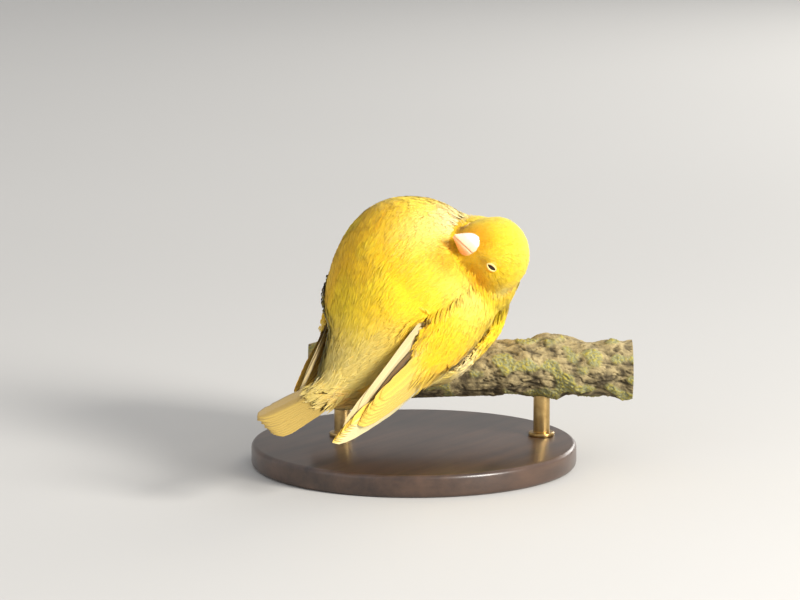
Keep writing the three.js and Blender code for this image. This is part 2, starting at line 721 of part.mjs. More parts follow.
const bird = new THREE.Group();
bird.add(meshOf("head", headSolid(), YELLOW));
bird.add(meshOf("neck", neckForm().subtract(headRoom()), YELLOW));
bird.add(meshOf("torso", trunkSolid(), YELLOW));
bird.add(meshOf("tail", tailSolid(), GOLD));
bird.add(meshOf("bill_upper", billHalf(true).subtract(nostril(1)).subtract(nostril(-1)), HORN));
bird.add(meshOf("bill_lower", billHalf(false), HORN));
for (const [word, wing] of Object.entries(WINGS)) {
  const side = wing.side;
  bird.add(meshOf(`wing_${word}`, wingSolid(wing), PALE));
  bird.add(meshOf(`eye_${word}`, eyeBall(side), EYE));
  bird.add(meshOf(`leg_${word}`, legSolid(side), FLESH));
}

const stand = new THREE.Group();
stand.add(meshOf("perch", perchSolid(), BARK));
stand.add(meshOf("stand_base", baseSolid(), STAND));
ROD_PLACES.forEach((along, i) => stand.add(meshOf(`stand_rod_${i + 1}`, rodSolid(along), STAND)));

const model = new THREE.Group();
model.add(bird, stand);
export default model;
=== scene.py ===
"""The looks of a dozing, fluffed-up canary on a cut length of branch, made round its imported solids."""

import math
from functools import partial

import bpy
import numpy as np
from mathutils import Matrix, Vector, noise
from mathutils.bvhtree import BVHTree


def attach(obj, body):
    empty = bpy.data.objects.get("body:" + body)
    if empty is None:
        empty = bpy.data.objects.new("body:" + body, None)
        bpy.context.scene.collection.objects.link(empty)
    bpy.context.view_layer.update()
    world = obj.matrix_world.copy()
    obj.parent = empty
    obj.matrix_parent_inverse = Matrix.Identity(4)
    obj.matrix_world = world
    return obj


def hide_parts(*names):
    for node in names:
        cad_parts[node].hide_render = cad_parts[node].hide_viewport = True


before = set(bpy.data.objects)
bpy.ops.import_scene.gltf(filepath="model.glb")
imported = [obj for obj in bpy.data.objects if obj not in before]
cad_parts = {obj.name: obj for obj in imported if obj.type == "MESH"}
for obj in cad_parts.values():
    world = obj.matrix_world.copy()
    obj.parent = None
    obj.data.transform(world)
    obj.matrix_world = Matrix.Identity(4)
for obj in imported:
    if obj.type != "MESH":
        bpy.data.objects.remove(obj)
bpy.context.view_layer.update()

# Sizes are in millimetres, in the body's axes: x to the breast, y to the bird's left, z up
MM = 0.001
SEED = 11
BODY_CENTRE = np.array((0.0, 0.0, 46.0))

# Camera: where it stands round the object, how far off, and what the picture's width spans at the bird
VIEW_AZIMUTH = math.radians(-55)
VIEW_ELEVATION = math.radians(10)
VIEW_DISTANCE = 1.1
PICTURE_SPAN = 0.2105
PIXEL = PICTURE_SPAN / 800
AIM_OFFSET = (14 * PIXEL, 8 * PIXEL)

# Lights: the way to each, as the camera's right, up and back, then its distance, size, power and colour
LIGHTS = {
    "key": ((1.0, 0.45, 0.9), 1.0, 0.35, 16, (1.0, 0.97, 0.92)),
    "fill": ((-0.9, 0.3, 0.8), 1.4, 1.2, 2.5, (1.0, 0.99, 0.97)),
    "rim": ((0.6, 0.6, -0.9), 1.2, 0.6, 6, (1.0, 0.98, 0.94)),
}
ROOM_COLOUR = (0.96, 0.97, 1.0, 1)
ROOM_LIGHT = 0.7

# The floor's sweep in metres: half its width, then how far behind the bird and how high it is
FLOOR_SIDE = 3.5
FLOOR_SWEEP = ((-3.0, 0.0), (1.6, 0.0), (2.2, 0.15), (2.6, 0.6), (2.7, 2.4))

# Head
HEAD_PLACE = np.array((8.1, -16.3, 11.6))
HEAD_FORWARD = np.array((-0.859, -0.089, 0.499))
HEAD_UP = np.array((0.408, -0.704, 0.581))
EYE_RADIUS = 3.1
EYE_PLACE = np.array((1.0, 4.8, 0.2))
EYE_TURN = math.radians(28)
LID_SLANT = math.radians(10)
LID_THICKNESS = 0.15
SLIT_SIZE = (1.4, 0.52)
LID_SIZE = (2.4, 2.1)
LID_CLEARING = (1.55, 1.0)
BILL_BASE = 6.0
BILL_TIP = 14.0
BILL_HALF_WIDTH = 3.4
CULMEN_HEIGHT = 2.3
GAPE_HEIGHT = -1.6
GONYS_HEIGHT = -5.2
BILL_DROOP = -2.4
MOUTH_GAP = 0.08

# Neck
NECK_PLACE = np.array((14.0, -9.5, 5.5))
NECK_RADII = np.array((13.8, 13.2, 14.8))

# Wings: bend, tip, how far the wing bows out round the body, at what place along it and over what length
WINGS = {
    "right": {"side": -1, "bend": (12, -15.2, -10), "tip": (-54.5, -15.2, -29.8), "bow": (1.5, 35, 28)},
    "left": {"side": 1, "bend": (14, 18, -6), "tip": (-52, 4.8, -27.5), "bow": (4.2, 20, 18)},
}
WING_LENGTH = 70

# A wing's curves: the radius of its curl round the body, its middle line, the share of the curl left at its
# tip, where along the wing the curl fades, and how deep its lower edge bulges
WING_CROWN = 22
WING_MIDDLE = 9
TIP_CURL = 0.3
CURL_FADE = (20, 60)
WING_BELLY = 3.5

# Where along a wing small feathers lie over the long ones
COVER_REACH = (24, 64)

# Tail
TAIL_ROOT = np.array((-27.0, 0.0, -18.3))
TAIL_AIM = np.array((-48.6, -5.0, -5.8))
TAIL_LENGTH = 45.5
TAIL_ROLL = math.radians(40)
TAIL_FORK = 2

# Branch
PERCH_TURN = math.radians(-55)
PERCH_RADIUS = 7.6
PERCH_OFFSET = 7
PERCH_DROP = 22.3
PERCH_LEFT = 28
PERCH_RIGHT = 58
LEG_PLACE = 3
LEG_SPREAD = 7
TOE_RADIUS = 1.0
FOOT_GAP = 0.3
TOE_RING = PERCH_RADIUS + FOOT_GAP + TOE_RADIUS

# Stand
BASE_RADIUS = 43
BASE_HEIGHT = 6
ROD_RADIUS = 2.2
ROD_PLACES = (-19, 34)

# Skin: how deep it lies under the coat, the width of the cells it is made of, and how often it is smoothed
BODY_COAT = 1.3
HEAD_COAT = 0.7
ARM_COAT = 0.4
SKIN_CELL = 0.55
SKIN_SMOOTHING = 18

COAT_TRIES = 220000
PIECE_TRIANGLES = 190000
HEAD_BLADES = 9
BODY_BLADES = 12

# The head's feathers at the nape and on the face: spacing, length, half width, lift, a blade's half width
HEAD_SPACING = (0.7, 0.38)
HEAD_FEATHERS = {"length": (3.6, 1.5), "half": (0.75, 0.3), "lift": (0.42, 0.24), "blade": (0.13, 0.065)}

# A coat blade: its ridge as a share of half its width, how its shading rounds to its sides, its taper over
# three stations, its faces over their three, three and two points, and where these points lie on the map
RIDGE = 0.3
ROUNDNESS = 0.35
BLADE_TAPER = (0.8, 1.0, 0.3)
BLADE_FACES = np.array((
    (0, 1, 4), (0, 4, 3), (1, 2, 5), (1, 5, 4), (2, 0, 3), (2, 3, 5),
    (3, 4, 7), (3, 7, 6), (4, 5, 7), (5, 3, 6), (5, 6, 7), (0, 2, 1),
))
BLADE_MAP = np.array((
    (0, 0), (0.003, 0), (0.0015, 0.0006), (0, 0.0016), (0.003, 0.0016), (0.0015, 0.002),
    (0.001, 0.003), (0.002, 0.003),
))

# A long feather's vane: stations along it, strips across it, its thickness, and how its edges curve down
VANE_STEPS = 22
VANE_COLUMNS = 8
VANE_THICKNESS = 0.09
VANE_CAMBER = 0.05

# Where along a vane its width changes, and the share of its full width there
VANE_OUTLINE = ((0, 0.12, 0.5, 0.85, 0.94, 0.985, 1), (0.45, 0.72, 1, 0.93, 0.72, 0.38, 0.06))

# Stations along the trunk: place, centre height, half width, height above, height below
TRUNK = (
    (-39, -20.5, 3.0, 2.6, 2.6),
    (-36.5, -20.2, 7.0, 6.0, 6.0),
    (-29, -16.5, 11.2, 11.8, 10.8),
    (-20, -9.5, 16.4, 21.8, 17.5),
    (-8, -2.5, 21.4, 27.4, 23.0),
    (4, 0, 22.2, 26.0, 25.0),
    (14, 0, 20.4, 22.2, 23.8),
    (22, -2.2, 16.4, 16.6, 18.2),
    (27.6, -3.4, 10.2, 10.6, 11.4),
    (30.2, -3.8, 1.8, 2.0, 2.2),
)

# How far the back of the trunk leans to the left: shift, place along, half length
LEAN = (1.3, -10, 14)

# Where the resting head presses the trunk in, and where the right thigh fluffs it out: place along, half
# length, turn round the trunk, half turn, depth as a share of the radius
DENTS = ((2, 15, 2.5, 0.62, 0.2), (-1, 8, 4.05, 0.4, -0.11))

# Stations along the head from nape to bill, with the same columns as the trunk
SKULL = (
    (-14.2, -0.6, 2.8, 2.8, 2.8),
    (-12.5, -0.5, 6.8, 7.0, 6.8),
    (-8, -0.3, 10.0, 10.6, 10.2),
    (-2.5, 0, 10.2, 11.4, 10.0),
    (1.5, 0, 8.3, 10.2, 8.7),
    (4.8, -0.4, 6.4, 6.6, 6.8),
    (7.0, -1.2, 4.4, 4.0, 4.6),
    (8.2, -1.5, 2.2, 1.8, 2.2),
)

# The last stations of the skin of the face, which leaves the bill's base free
FACE_END = ((6.0, -1.2, 4.8, 4.4, 5.0), (6.7, -1.4, 2.6, 2.4, 2.8))

# Stations along the room of a folded wing, from the bend: place, lower edge, upper edge, depth in, depth out
WING_ROOM = (
    (-5.5, 3.5, 12, 1.8, 2.4),
    (-3, 0.8, 14.8, 2.9, 3.8),
    (2, -0.6, 17.4, 3.3, 5.0),
    (12, -0.8, 18.4, 3.4, 5.4),
    (26, -1.2, 18.8, 3.7, 4.2),
    (38, -1.4, 18.0, 3.4, 3.4),
    (50, -1.4, 14.2, 3.2, 3.0),
    (60, -1.4, 9.2, 2.9, 2.4),
    (71, -1.0, 4.2, 2.4, 1.2),
)

# Stations along the fleshy part of a wing: place, lower edge, upper edge, depth in, depth out
WING_ARM = (
    (-4, 5, 10, 0.8, 0.8),
    (-2.5, 2.6, 13, 2.0, 2.3),
    (2, 1.2, 15.8, 2.5, 3.6),
    (10, 0.6, 17, 2.7, 4.2),
    (18, 0.6, 17, 2.7, 3.8),
    (26, 2.6, 16.4, 2.4, 2.7),
    (32, 6.0, 15.0, 1.6, 1.9),
    (36, 9.0, 13.0, 0.8, 0.9),
)

# Stations along the tail's fleshy root, and along its vanes where small feathers lie on them, with the same
# columns as the trunk
TAIL_STUB = (
    (3, 0, 5.5, 4.6, 4.6),
    (9, 0, 5.0, 4.0, 4.0),
    (12.5, 0, 4.0, 2.5, 2.5),
    (16, 0, 3.1, 1.4, 1.4),
    (19.5, 0, 2.0, 0.6, 0.6),
)
TAIL_COVER = ((12, 0, 3.2, 1.0, 1.0), (20, 0, 4.2, 0.7, 0.7), (36, 0, 4.8, 0.7, 0.7))

rng = np.random.default_rng(SEED)


# Vectors and frames

def unit(v):
    v = np.asarray(v, float)
    return v / np.maximum(np.linalg.norm(v, axis=-1, keepdims=True), 1e-9)


def ramp(low, high, x):
    """A smooth rise from 0 where x is low to 1 where it is high."""
    t = np.clip((np.asarray(x, float) - low) / (high - low), 0, 1)
    return t * t * (3 - 2 * t)


def mix(a, b, t):
    return a + (b - a) * t


def near(x, middle, reach):
    """1 where x is at a middle value, falling to 0 beyond a reach."""
    return np.exp(-(((x - middle) / reach) ** 2))


def around(points, centre, radius):
    """How near points are to a centre, from 1 there to 0 well outside the radius."""
    return np.exp(-(np.linalg.norm((points - np.asarray(centre)) / radius, axis=-1) ** 2))


def noise_at(points, scale, shift=(0, 0, 0)):
    return np.array([noise.noise(Vector(p) * scale + Vector(shift)) for p in points])


def turns(sides):
    """Angles evenly round a circle."""
    return np.arange(sides) * 2 * math.pi / sides


def frame_of(origin, x, y, z):
    """Columns are the frame's axes and its origin, as a 3 by 4 matrix."""
    return np.column_stack((x, y, z, origin))


def place(axes, points):
    return np.asarray(points, float) @ axes[:, :3].T + axes[:, 3]


def local(axes, points):
    return (np.asarray(points, float) - axes[:, 3]) @ axes[:, :3]


def head_frame():
    forward = unit(HEAD_FORWARD)
    up = unit(HEAD_UP - forward * np.dot(HEAD_UP, forward))
    return frame_of(BODY_CENTRE + HEAD_PLACE, forward, np.cross(up, forward), up)


def tail_frame():
    aim = unit(TAIL_AIM)
    rolled = np.array((0, math.cos(TAIL_ROLL), math.sin(TAIL_ROLL)))
    right = -unit(rolled - aim * np.dot(rolled, aim))
    return frame_of(BODY_CENTRE + TAIL_ROOT, aim, right, np.cross(aim, right))


def perch_frame():
    along = np.array((math.cos(PERCH_TURN), math.sin(PERCH_TURN), 0))
    across = np.array((-along[1], along[0], 0))
    origin = BODY_CENTRE + across * PERCH_OFFSET
    origin[2] = BODY_CENTRE[2] - PERCH_DROP
    return frame_of(origin, along, across, np.array((0, 0, 1)))


def eye_frame(side):
    """In the head's axes: x forward along the slit between the lids, y up, z out of the eye."""
    out = np.array((math.sin(EYE_TURN), side * math.cos(EYE_TURN), 0))
    forward = np.array((math.cos(EYE_TURN), -side * math.sin(EYE_TURN), 0))
    up = np.array((0, 0, 1.0))
    slit = forward * math.cos(LID_SLANT) - up * math.sin(LID_SLANT)
    return frame_of(EYE_PLACE * (1, side, 1), slit, np.cross(out, slit) * side, out)


BODY = frame_of(BODY_CENTRE, *np.eye(3))
HEAD = head_frame()
TAIL = tail_frame()
PERCH = perch_frame()


# Meshes from arrays

def make_mesh(name, points, faces, material, colours=None, bake_uv=None, vane_uv=None):
    """A mesh piece from points in millimetres and triangles or quads, with per-point colours and maps."""
    faces = np.asarray(faces, np.int32)
    count, corners = faces.shape
    mesh = bpy.data.meshes.new(name)
    mesh.vertices.add(len(points))
    mesh.vertices.foreach_set("co", (np.asarray(points) * MM).astype(np.float32).ravel())
    mesh.loops.add(count * corners)
    mesh.loops.foreach_set("vertex_index", faces.ravel())
    mesh.polygons.add(count)
    mesh.polygons.foreach_set("loop_start", np.arange(0, count * corners, corners, dtype=np.int32))
    mesh.update(calc_edges=True)
    mesh.polygons.foreach_set("use_smooth", np.full(count, True))
    if colours is not None:
        tint(mesh, colours)
    for layer, values in (("OFBake", bake_uv), ("vane", vane_uv)):
        if values is not None:
            spread = np.asarray(values, np.float32)[faces.ravel()]
            mesh.uv_layers.new(name=layer).data.foreach_set("uv", spread.ravel())
    mesh.materials.append(material)
    piece = bpy.data.objects.new(name, mesh)
    bpy.context.scene.collection.objects.link(piece)
    return piece


def tint(mesh, colours):
    rgba = np.column_stack((colours, np.ones(len(colours)))).astype(np.float32)
    mesh.color_attributes.new("tint", "FLOAT_COLOR", "POINT").data.foreach_set("color", rgba.ravel())


def ring_faces(rings, sides, closed=False):
    """Quads over rings of points, and from the last ring back to the first if they close."""
    i, j = np.meshgrid(np.arange(rings - 1 + closed), np.arange(sides), indexing="ij")
    here, there, after = i * sides, (i + 1) % rings * sides, (j + 1) % sides
    return np.stack((here + j, here + after, there + after, there + j), -1).reshape(-1, 4)


def tube_mesh(rings):
    """Points and triangles of a closed skin over rings, which is an array of rings, sides and 3."""
    count, sides = rings.shape[:2]
    points = np.concatenate((rings.reshape(-1, 3), [rings[0].mean(0)], [rings[-1].mean(0)]))
    quads = ring_faces(count, sides)
    j = np.arange(sides)
    after = (j + 1) % sides
    last = (count - 1) * sides
    first_cap = np.column_stack((np.full(sides, count * sides), after, j))
    last_cap = np.column_stack((np.full(sides, count * sides + 1), last + j, last + after))
    return points, np.concatenate((quads[:, (0, 1, 2)], quads[:, (0, 2, 3)], first_cap, last_cap))


def join(parts):
    """One pair of points and faces from several."""
    points, faces = zip(*parts)
    starts = np.cumsum([0, *map(len, points)])
    return np.concatenate(points), np.concatenate([part + start for part, start in zip(faces, starts)])


def smooth_stations(stations, u):
    """Values between stations on one smooth curve through them; u counts stations."""
    table = np.asarray(stations, float)
    last = len(table) - 1
    i = np.minimum(np.floor(u).astype(int), last - 1)
    t = (u - i)[:, None]
    a, b, c, d = (table[np.clip(i + k, 0, last)] for k in (-1, 0, 1, 2))
    slope_b, slope_c, rise = (c - a) / 2, (d - b) / 2, c - b
    return b + t * (slope_b + t * (3 * rise - 2 * slope_b - slope_c + t * (slope_b + slope_c - 2 * rise)))


def finer(stations, steps):
    """Counts of stations, with some steps from each to the next."""
    return np.linspace(0, len(stations) - 1, (len(stations) - 1) * steps + 1)


def loft(stations, axes, grow, sides=48, steps=6, dent=None, shift=None):
    """A rounded closed body through stations, grown or shrunk all round."""
    u = finer(stations, steps)
    x, z, width, above, below = smooth_stations(stations, u).T
    turn = turns(sides)
    height = np.where(np.sin(turn)[None] > 0, above[:, None], below[:, None]) + grow
    shrink = 1 - dent(x[:, None], turn[None]) if dent else 1
    y = shrink * (width[:, None] + grow) * np.cos(turn)
    if shift:
        y = y + shift(x)[:, None]
    x = x + np.where(u == 0, -grow, np.where(u == u[-1], grow, 0))
    points = np.stack((np.repeat(x[:, None], sides, 1), y, z[:, None] + shrink * height * np.sin(turn)), -1)
    return tube_mesh(place(axes, points))


def ellipsoid(centre, radii, axes, rings=24, sides=48):
    polar = np.linspace(0.02, math.pi - 0.02, rings)[:, None]
    turn = turns(sides)[None]
    ring = np.sin(polar)
    shape = np.stack((-np.cos(polar) + 0 * turn, ring * np.cos(turn), ring * np.sin(turn)), -1)
    return tube_mesh(place(axes, shape * np.asarray(radii) + np.asarray(centre)))


def lean(x):
    shift, along, reach = LEAN
    return shift * near(x, along, reach)


def trunk_dent(x, turn):
    """How much the trunk is pressed in, as a share of its radius."""
    total = 0
    for along, reach, middle, spread, depth in DENTS:
        total = total + depth * np.exp(-(((x - along) / reach) ** 2) - (((turn - middle) / spread) ** 2))
    return total


# Wing sheet

def wing_axes(wing):
    bend, tip = np.array(wing["bend"], float), np.array(wing["tip"], float)
    aim = unit(tip - bend)
    lift = unit(np.array((0, 0, 1.0)) - aim * aim[2])
    return bend, aim, lift, np.cross(aim, lift) * wing["side"]


def wing_bow(wing, along, across):
    """How far a wing's middle sheet lies out at a place on it."""
    depth, bow_place, spread = wing["bow"]
    faded = np.clip((along - CURL_FADE[0]) / (CURL_FADE[1] - CURL_FADE[0]), 0, 1)
    sag = -mix(1, TIP_CURL, faded) * (across - WING_MIDDLE) ** 2 / (2 * WING_CROWN)
    return sag + depth * near(along, bow_place, spread)


def wing_drop(along):
    return WING_BELLY * np.sin(math.pi * np.clip(along / WING_LENGTH, 0, 1))


def wing_point(wing, along, across, out):
    """Points of a folded wing: along it, across it from its lower edge, and out from its middle sheet."""
    bend, aim, lift, outward = wing_axes(wing)
    reach = (out + wing_bow(wing, along, across))[..., None]
    rise = (across - wing_drop(along))[..., None]
    return BODY_CENTRE + bend + aim * along[..., None] + lift * rise + outward * reach


def stations_at(stations, x):
    """The stations' values, apart from the place itself, at places along them."""
    u = np.interp(x, [row[0] for row in stations], np.arange(len(stations)))
    return smooth_stations(stations, u)[:, 1:].T


def wing_local(wing, points):
    """Points along, across and out from a folded wing's sheet, and its edges and depth inwards there."""
    bend, aim, lift, outward = wing_axes(wing)
    offset = points - BODY_CENTRE - bend
    along = offset @ aim
    across = offset @ lift + wing_drop(along)
    low, high, depth_in, _ = stations_at(WING_ROOM, along)
    return along, across, offset @ outward - wing_bow(wing, along, across), low, high, depth_in


def pressed_by_wings(points):
    """The trunk's points, moved in where a folded wing lies on them."""
    for wing in WINGS.values():
        along, across, out, low, high, depth_in = wing_local(wing, points)
        inside = ramp(-6, -4, along) * ramp(WING_LENGTH + 2, WING_LENGTH - 2, along)
        inside *= ramp(low - 1.2, low + 1.2, across) * ramp(high - 0.5, high - 3, across)
        bed = mix(1.0, depth_in, ramp(16, 26, along))
        excess = np.where(np.abs(out) < 14, np.maximum(0, out + bed), 0)
        points = points - wing_axes(wing)[3] * (excess * inside)[:, None]
    return points


def wing_cover(wing):
    """An open sheet over a folded wing's long feathers, for the small feathers that lie over their roots."""
    rows, columns = 20, 12
    along = np.linspace(*COVER_REACH, rows)
    low, high, _, depth_out = stations_at(WING_ROOM, along)
    share = np.linspace(0, 1, columns)[None]
    across = mix(low[:, None], high[:, None] - 3, share)
    out = -1.2 + (0.45 * depth_out[:, None] + 0.9) * np.sqrt(np.sin(math.pi * np.clip(share, 0.02, 0.98)))
    i, j = np.meshgrid(np.arange(rows - 1), np.arange(columns - 1), indexing="ij")
    a = (i * columns + j).ravel()
    b, c = a + 1, a + columns
    faces = np.concatenate((np.column_stack((a, b, c)), np.column_stack((b, c + 1, c))))
    if wing["side"] > 0:
        faces = faces[:, ::-1]
    return wing_point(wing, along[:, None] + 0 * across, across, out).reshape(-1, 3), faces


def wing_arm(wing):
    """The fleshy part of a folded wing, under its coat."""
    along, low, high, depth_in, depth_out = smooth_stations(WING_ARM, finer(WING_ARM, 4)).T[:, :, None]
    share = np.arange(13) / 12
    across = mix(low + ARM_COAT, high - ARM_COAT, share)
    bulge = 0.6 + 0.4 * np.sqrt(np.sin(math.pi * share))
    top = wing_point(wing, along + 0 * across, across, depth_out * bulge - ARM_COAT)
    under = wing_point(wing, along + 0 * across, across, -depth_in * bulge + ARM_COAT)
    rings = np.concatenate((top, under[:, ::-1]), 1)
    return tube_mesh(rings if wing["side"] < 0 else rings[:, ::-1])


# Materials

def srgb(red, green, blue):
    """A linear colour from the 0 to 255 values that a colour picker shows."""
    values = np.array((red, green, blue), float) / 255
    return np.where(values <= 0.04045, values / 12.92, ((values + 0.055) / 1.055) ** 2.4)


class Nodes:
    """A material's node tree, with short calls to add and link nodes."""

    def __init__(self, name, roughness, **sockets):
        self.material = bpy.data.materials.new(name)
        self.material.use_nodes = True
        self.tree = self.material.node_tree
        self.shader = self.tree.nodes["Principled BSDF"]
        sockets["Roughness"] = roughness
        self.feed(self.shader, {key.replace("_", " "): value for key, value in sockets.items()})

    def feed(self, node, inputs):
        """Sets a node's inputs, or links them to outputs."""
        for key, value in inputs.items():
            if isinstance(value, bpy.types.NodeSocket):
                self.tree.links.new(value, node.inputs[key])
            else:
                node.inputs[key].default_value = value

    def add(self, kind, output, inputs=None, **settings):
        """One output of a new node."""
        node = self.tree.nodes.new(kind)
        for key, value in settings.items():
            setattr(node, key, value)
        self.feed(node, inputs or {})
        return node.outputs[output]

    def noise(self, scale, detail, roughness=0.6, **place_map):
        return self.add("ShaderNodeTexNoise", "Fac",
                        {"Scale": scale, "Detail": detail, "Roughness": roughness, **place_map})

    def finish(self, height, low, dark, high, pale, relief=(0, 0), tinted=False):
        """The material: dark where a height is low and pale where it is high, with relief from it."""
        node = self.tree.nodes.new("ShaderNodeValToRGB")
        self.feed(node, {"Fac": height})
        for element, where, colour in zip(node.color_ramp.elements, (low, high), (dark, pale)):
            element.position = where
            element.color = (*colour, 1)
        colour = node.outputs["Color"]
        if tinted:
            own = self.add("ShaderNodeAttribute", "Color", attribute_name="tint")
            colour = self.add("ShaderNodeMix", 2, {0: 1.0, 6: own, 7: colour},
                              data_type="RGBA", blend_type="MULTIPLY")
        self.feed(self.shader, {"Base Color": colour})
        if relief[0]:
            bump = {"Height": height, "Strength": relief[0], "Distance": relief[1]}
            self.feed(self.shader, {"Normal": self.add("ShaderNodeBump", "Normal", bump)})
        return self.material


def grained(name, roughness, grain, colours, relief=(0, 0), tinted=False, stretch=(1, 1, 1), **sockets):
    """A material with two colours, or two shades of the pieces' own tints, over a fine grain."""
    nodes = Nodes(name, roughness, **sockets)
    where = nodes.add("ShaderNodeTexCoord", "Object")
    if stretch != (1, 1, 1):
        where = nodes.add("ShaderNodeMapping", "Vector", {"Vector": where, "Scale": stretch})
    return nodes.finish(nodes.noise(*grain, Vector=where), *colours, relief, tinted)


def vane_material():
    """Flight feather vanes with slanting barbs and a smooth shaft."""
    nodes = Nodes("flight_feathers", 0.5, Sheen_Weight=0.15, Specular_IOR_Level=0.3)
    barbs = {"Vector": nodes.add("ShaderNodeUVMap", "UV", uv_map="vane"), "Scale": 1.0, "Distortion": 0.8,
             "Detail": 2.0}
    wave = nodes.add("ShaderNodeTexWave", "Fac", barbs, wave_type="BANDS", bands_direction="X")
    return nodes.finish(wave, 0.0, (0.74, 0.72, 0.66), 0.6, WHITE, (0.6, 0.0001), True)


def leg_material():
    """Bare legs with small scales."""
    nodes = Nodes("legs", 0.45, Subsurface_Weight=0.2, Subsurface_Scale=0.001)
    where = nodes.add("ShaderNodeTexCoord", "Object")
    scales = nodes.add("ShaderNodeTexVoronoi", "Distance", {"Vector": where, "Scale": 1100.0})
    return nodes.finish(scales, 0.0, srgb(226, 176, 150), 0.8, srgb(178, 118, 96), (0.5, 0.0002))


WHITE = (1.0, 1.0, 1.0)

# Each material's roughness, its grain's scale and detail, where in the grain it is dark and where pale, its
# relief's strength and depth, and whether it shades the pieces' own tints
PLUMAGE = grained("plumage", 0.75, (900, 3), (0.3, (0.94, 0.92, 0.86), 0.7, WHITE), tinted=True,
                  Sheen_Weight=0.1, Sheen_Roughness=0.5, Specular_IOR_Level=0.15,
                  Subsurface_Weight=0.3, Subsurface_Scale=0.0006, Subsurface_Radius=(1.0, 0.95, 0.6))
VANES = vane_material()
BILL = grained("bill", 0.38, (1500, 5), (0.3, (0.86, 0.82, 0.8), 0.7, WHITE), (0.15, 0.0001), True,
               Subsurface_Weight=0.25, Subsurface_Scale=0.001)
EYE = grained("eye", 0.12, (700, 2), (0.3, srgb(34, 18, 8), 0.7, srgb(66, 38, 16)), Specular_IOR_Level=0.35)
LIDS = grained("lids", 0.5, (2500, 4), (0.3, (0.8, 0.76, 0.7), 0.7, WHITE), (0.4, 0.00008), True,
               Subsurface_Weight=0.2, Subsurface_Scale=0.0008)
LEGS = leg_material()
CLAWS = grained("claws", 0.3, (900, 3), (0.3, srgb(120, 84, 66), 0.7, srgb(176, 136, 110)))
BARK = grained("bark", 0.92, (1400, 6, 0.7), (0.25, (0.55, 0.52, 0.48), 0.7, (1.1, 1.08, 1.02)),
               (0.7, 0.0003), True)
SAWN = grained("sawn_wood", 0.8, (300, 5), (0.3, srgb(150, 120, 80), 0.7, srgb(206, 180, 134)),
               (0.4, 0.0002))
STAND = grained("stand", 0.35, (1.0, 6, 0.65), (0.3, srgb(44, 32, 26), 0.7, srgb(84, 62, 48)),
                (0.15, 0.0002), stretch=(20, 160, 160), Coat_Weight=0.3, Coat_Roughness=0.2)
RODS = grained("rods", 0.28, (400, 4), (0.3, srgb(168, 136, 84), 0.7, srgb(206, 176, 118)), Metallic=1.0)


# Plumage colours

LEMON = srgb(253, 213, 36)
BRIGHT_LEMON = srgb(255, 230, 30)
PALE_LEMON = srgb(255, 236, 128)
GOLD = srgb(248, 182, 14)
ORANGE = srgb(252, 148, 4)
OLIVE = srgb(176, 128, 28)
CREAM = srgb(244, 232, 190)
SHADED_CREAM = srgb(200, 178, 104)

# Marks in the order that they are laid on: colour, strength, centre and reach
BACK_MARKS = (
    # The first two marks, pale lemon on the back's right side where it faces the light, are painted
    # highlight
    (PALE_LEMON, 0.7, (2, -19, 5), (9, 7, 8)),
    (PALE_LEMON, 0.5, (-4, -8, 18), (8, 6, 7)),
    (CREAM, 0.85, (10, -11, 20), (9, 6, 5)),
)
BODY_MARKS = (
    (GOLD, 0.5, (-12, -17, -8), (10, 8, 6)),
    (CREAM, 0.7, (5, -17, -18), (5, 6, 4.5)),
    (CREAM, 0.8, (-10, -12, -24), (7, 6, 4)),
    (ORANGE, 0.55, (-35, -5, -24.5), (5, 5, 2.5)),
    (CREAM, 0.9, (-38, -4, -28.5), (5, 6, 3)),
    # Strong orange under the bill is painted shade in the pocket where the bill sinks into the back's
    # feathers
    (ORANGE, 1.0, (-2.2, -14.8, 12.2), (4.2, 4.2, 3.8)),
    (GOLD, 0.7, (0, -17, 7.5), (3.5, 3.5, 4.5)),
)
HEAD_MARKS = (
    (BRIGHT_LEMON, 0.8, (1, 0, 10), (7, 9, 7)),
    (PALE_LEMON, 0.4, (-4, 1, 9), (7, 9, 5)),
    # The gold and orange round the bill's base are partly the face's own colour, partly painted shade where
    # the face turns from the light
    (GOLD, 0.6, (7.2, 0, 1.5), (2.8, 6, 4.4)),
    (ORANGE, 0.9, (7.6, 0, 1.4), (2.2, 5.0, 4.4)),
)
CHEEK_MARKS = (
    # The dark olive on the lore between bill and eye is painted shade
    (OLIVE, 0.9, (5.0, 5.8, -0.6), (2.2, 2.4, 1.4)),
    (mix(GOLD, ORANGE, 0.4), 0.95, (2.5, 6.6, -4), (6, 3.6, 3.0)),
    (OLIVE, 0.35, (-2.0, 8.5, -0.9), (2.4, 2.4, 1.0)),
    (PALE_LEMON, 0.7, (-5.4, 10, -1.8), (2.0, 3, 1.8)),
    (GOLD, 0.6, (-8.4, 9, -0.6), (2.2, 3, 2.2)),
)


def head_share(points):
    """1 on the head, 0 on the body, by how near a point is to the skull's surface."""
    q = local(HEAD, points)
    z, width, above, below = stations_at(SKULL, q[:, 0])
    height = np.where(q[:, 2] > z, above, below)
    size = np.sqrt((q[:, 1] / width) ** 2 + ((q[:, 2] - z) / height) ** 2)
    outside = np.maximum(0, np.maximum(SKULL[0][0] - q[:, 0], q[:, 0] - 8.4))
    return 1 - ramp(1.04, 1.22, size + outside * 0.3)


def wing_share(points):
    """1 on the outer side of a folded wing's fleshy part, 0 off it."""
    share = 0
    for wing in WINGS.values():
        along, across, out, *_ = wing_local(wing, points)
        share += ramp(2, 12, along) * ramp(-1, 2, across) * ramp(0.5, 2, out) * (out < 8)
    return share


def wing_edge(points):
    """1 along the upper edge of a folded wing's fleshy part, 0 away from it."""
    share = 0
    for wing in WINGS.values():
        along, across, out, _, high, _ = wing_local(wing, points)
        length = ramp(2, 8, along) * ramp(42, 36, along) * (np.abs(out) < 7)
        share += length * near(across - high, 1, 3.5)
    return share


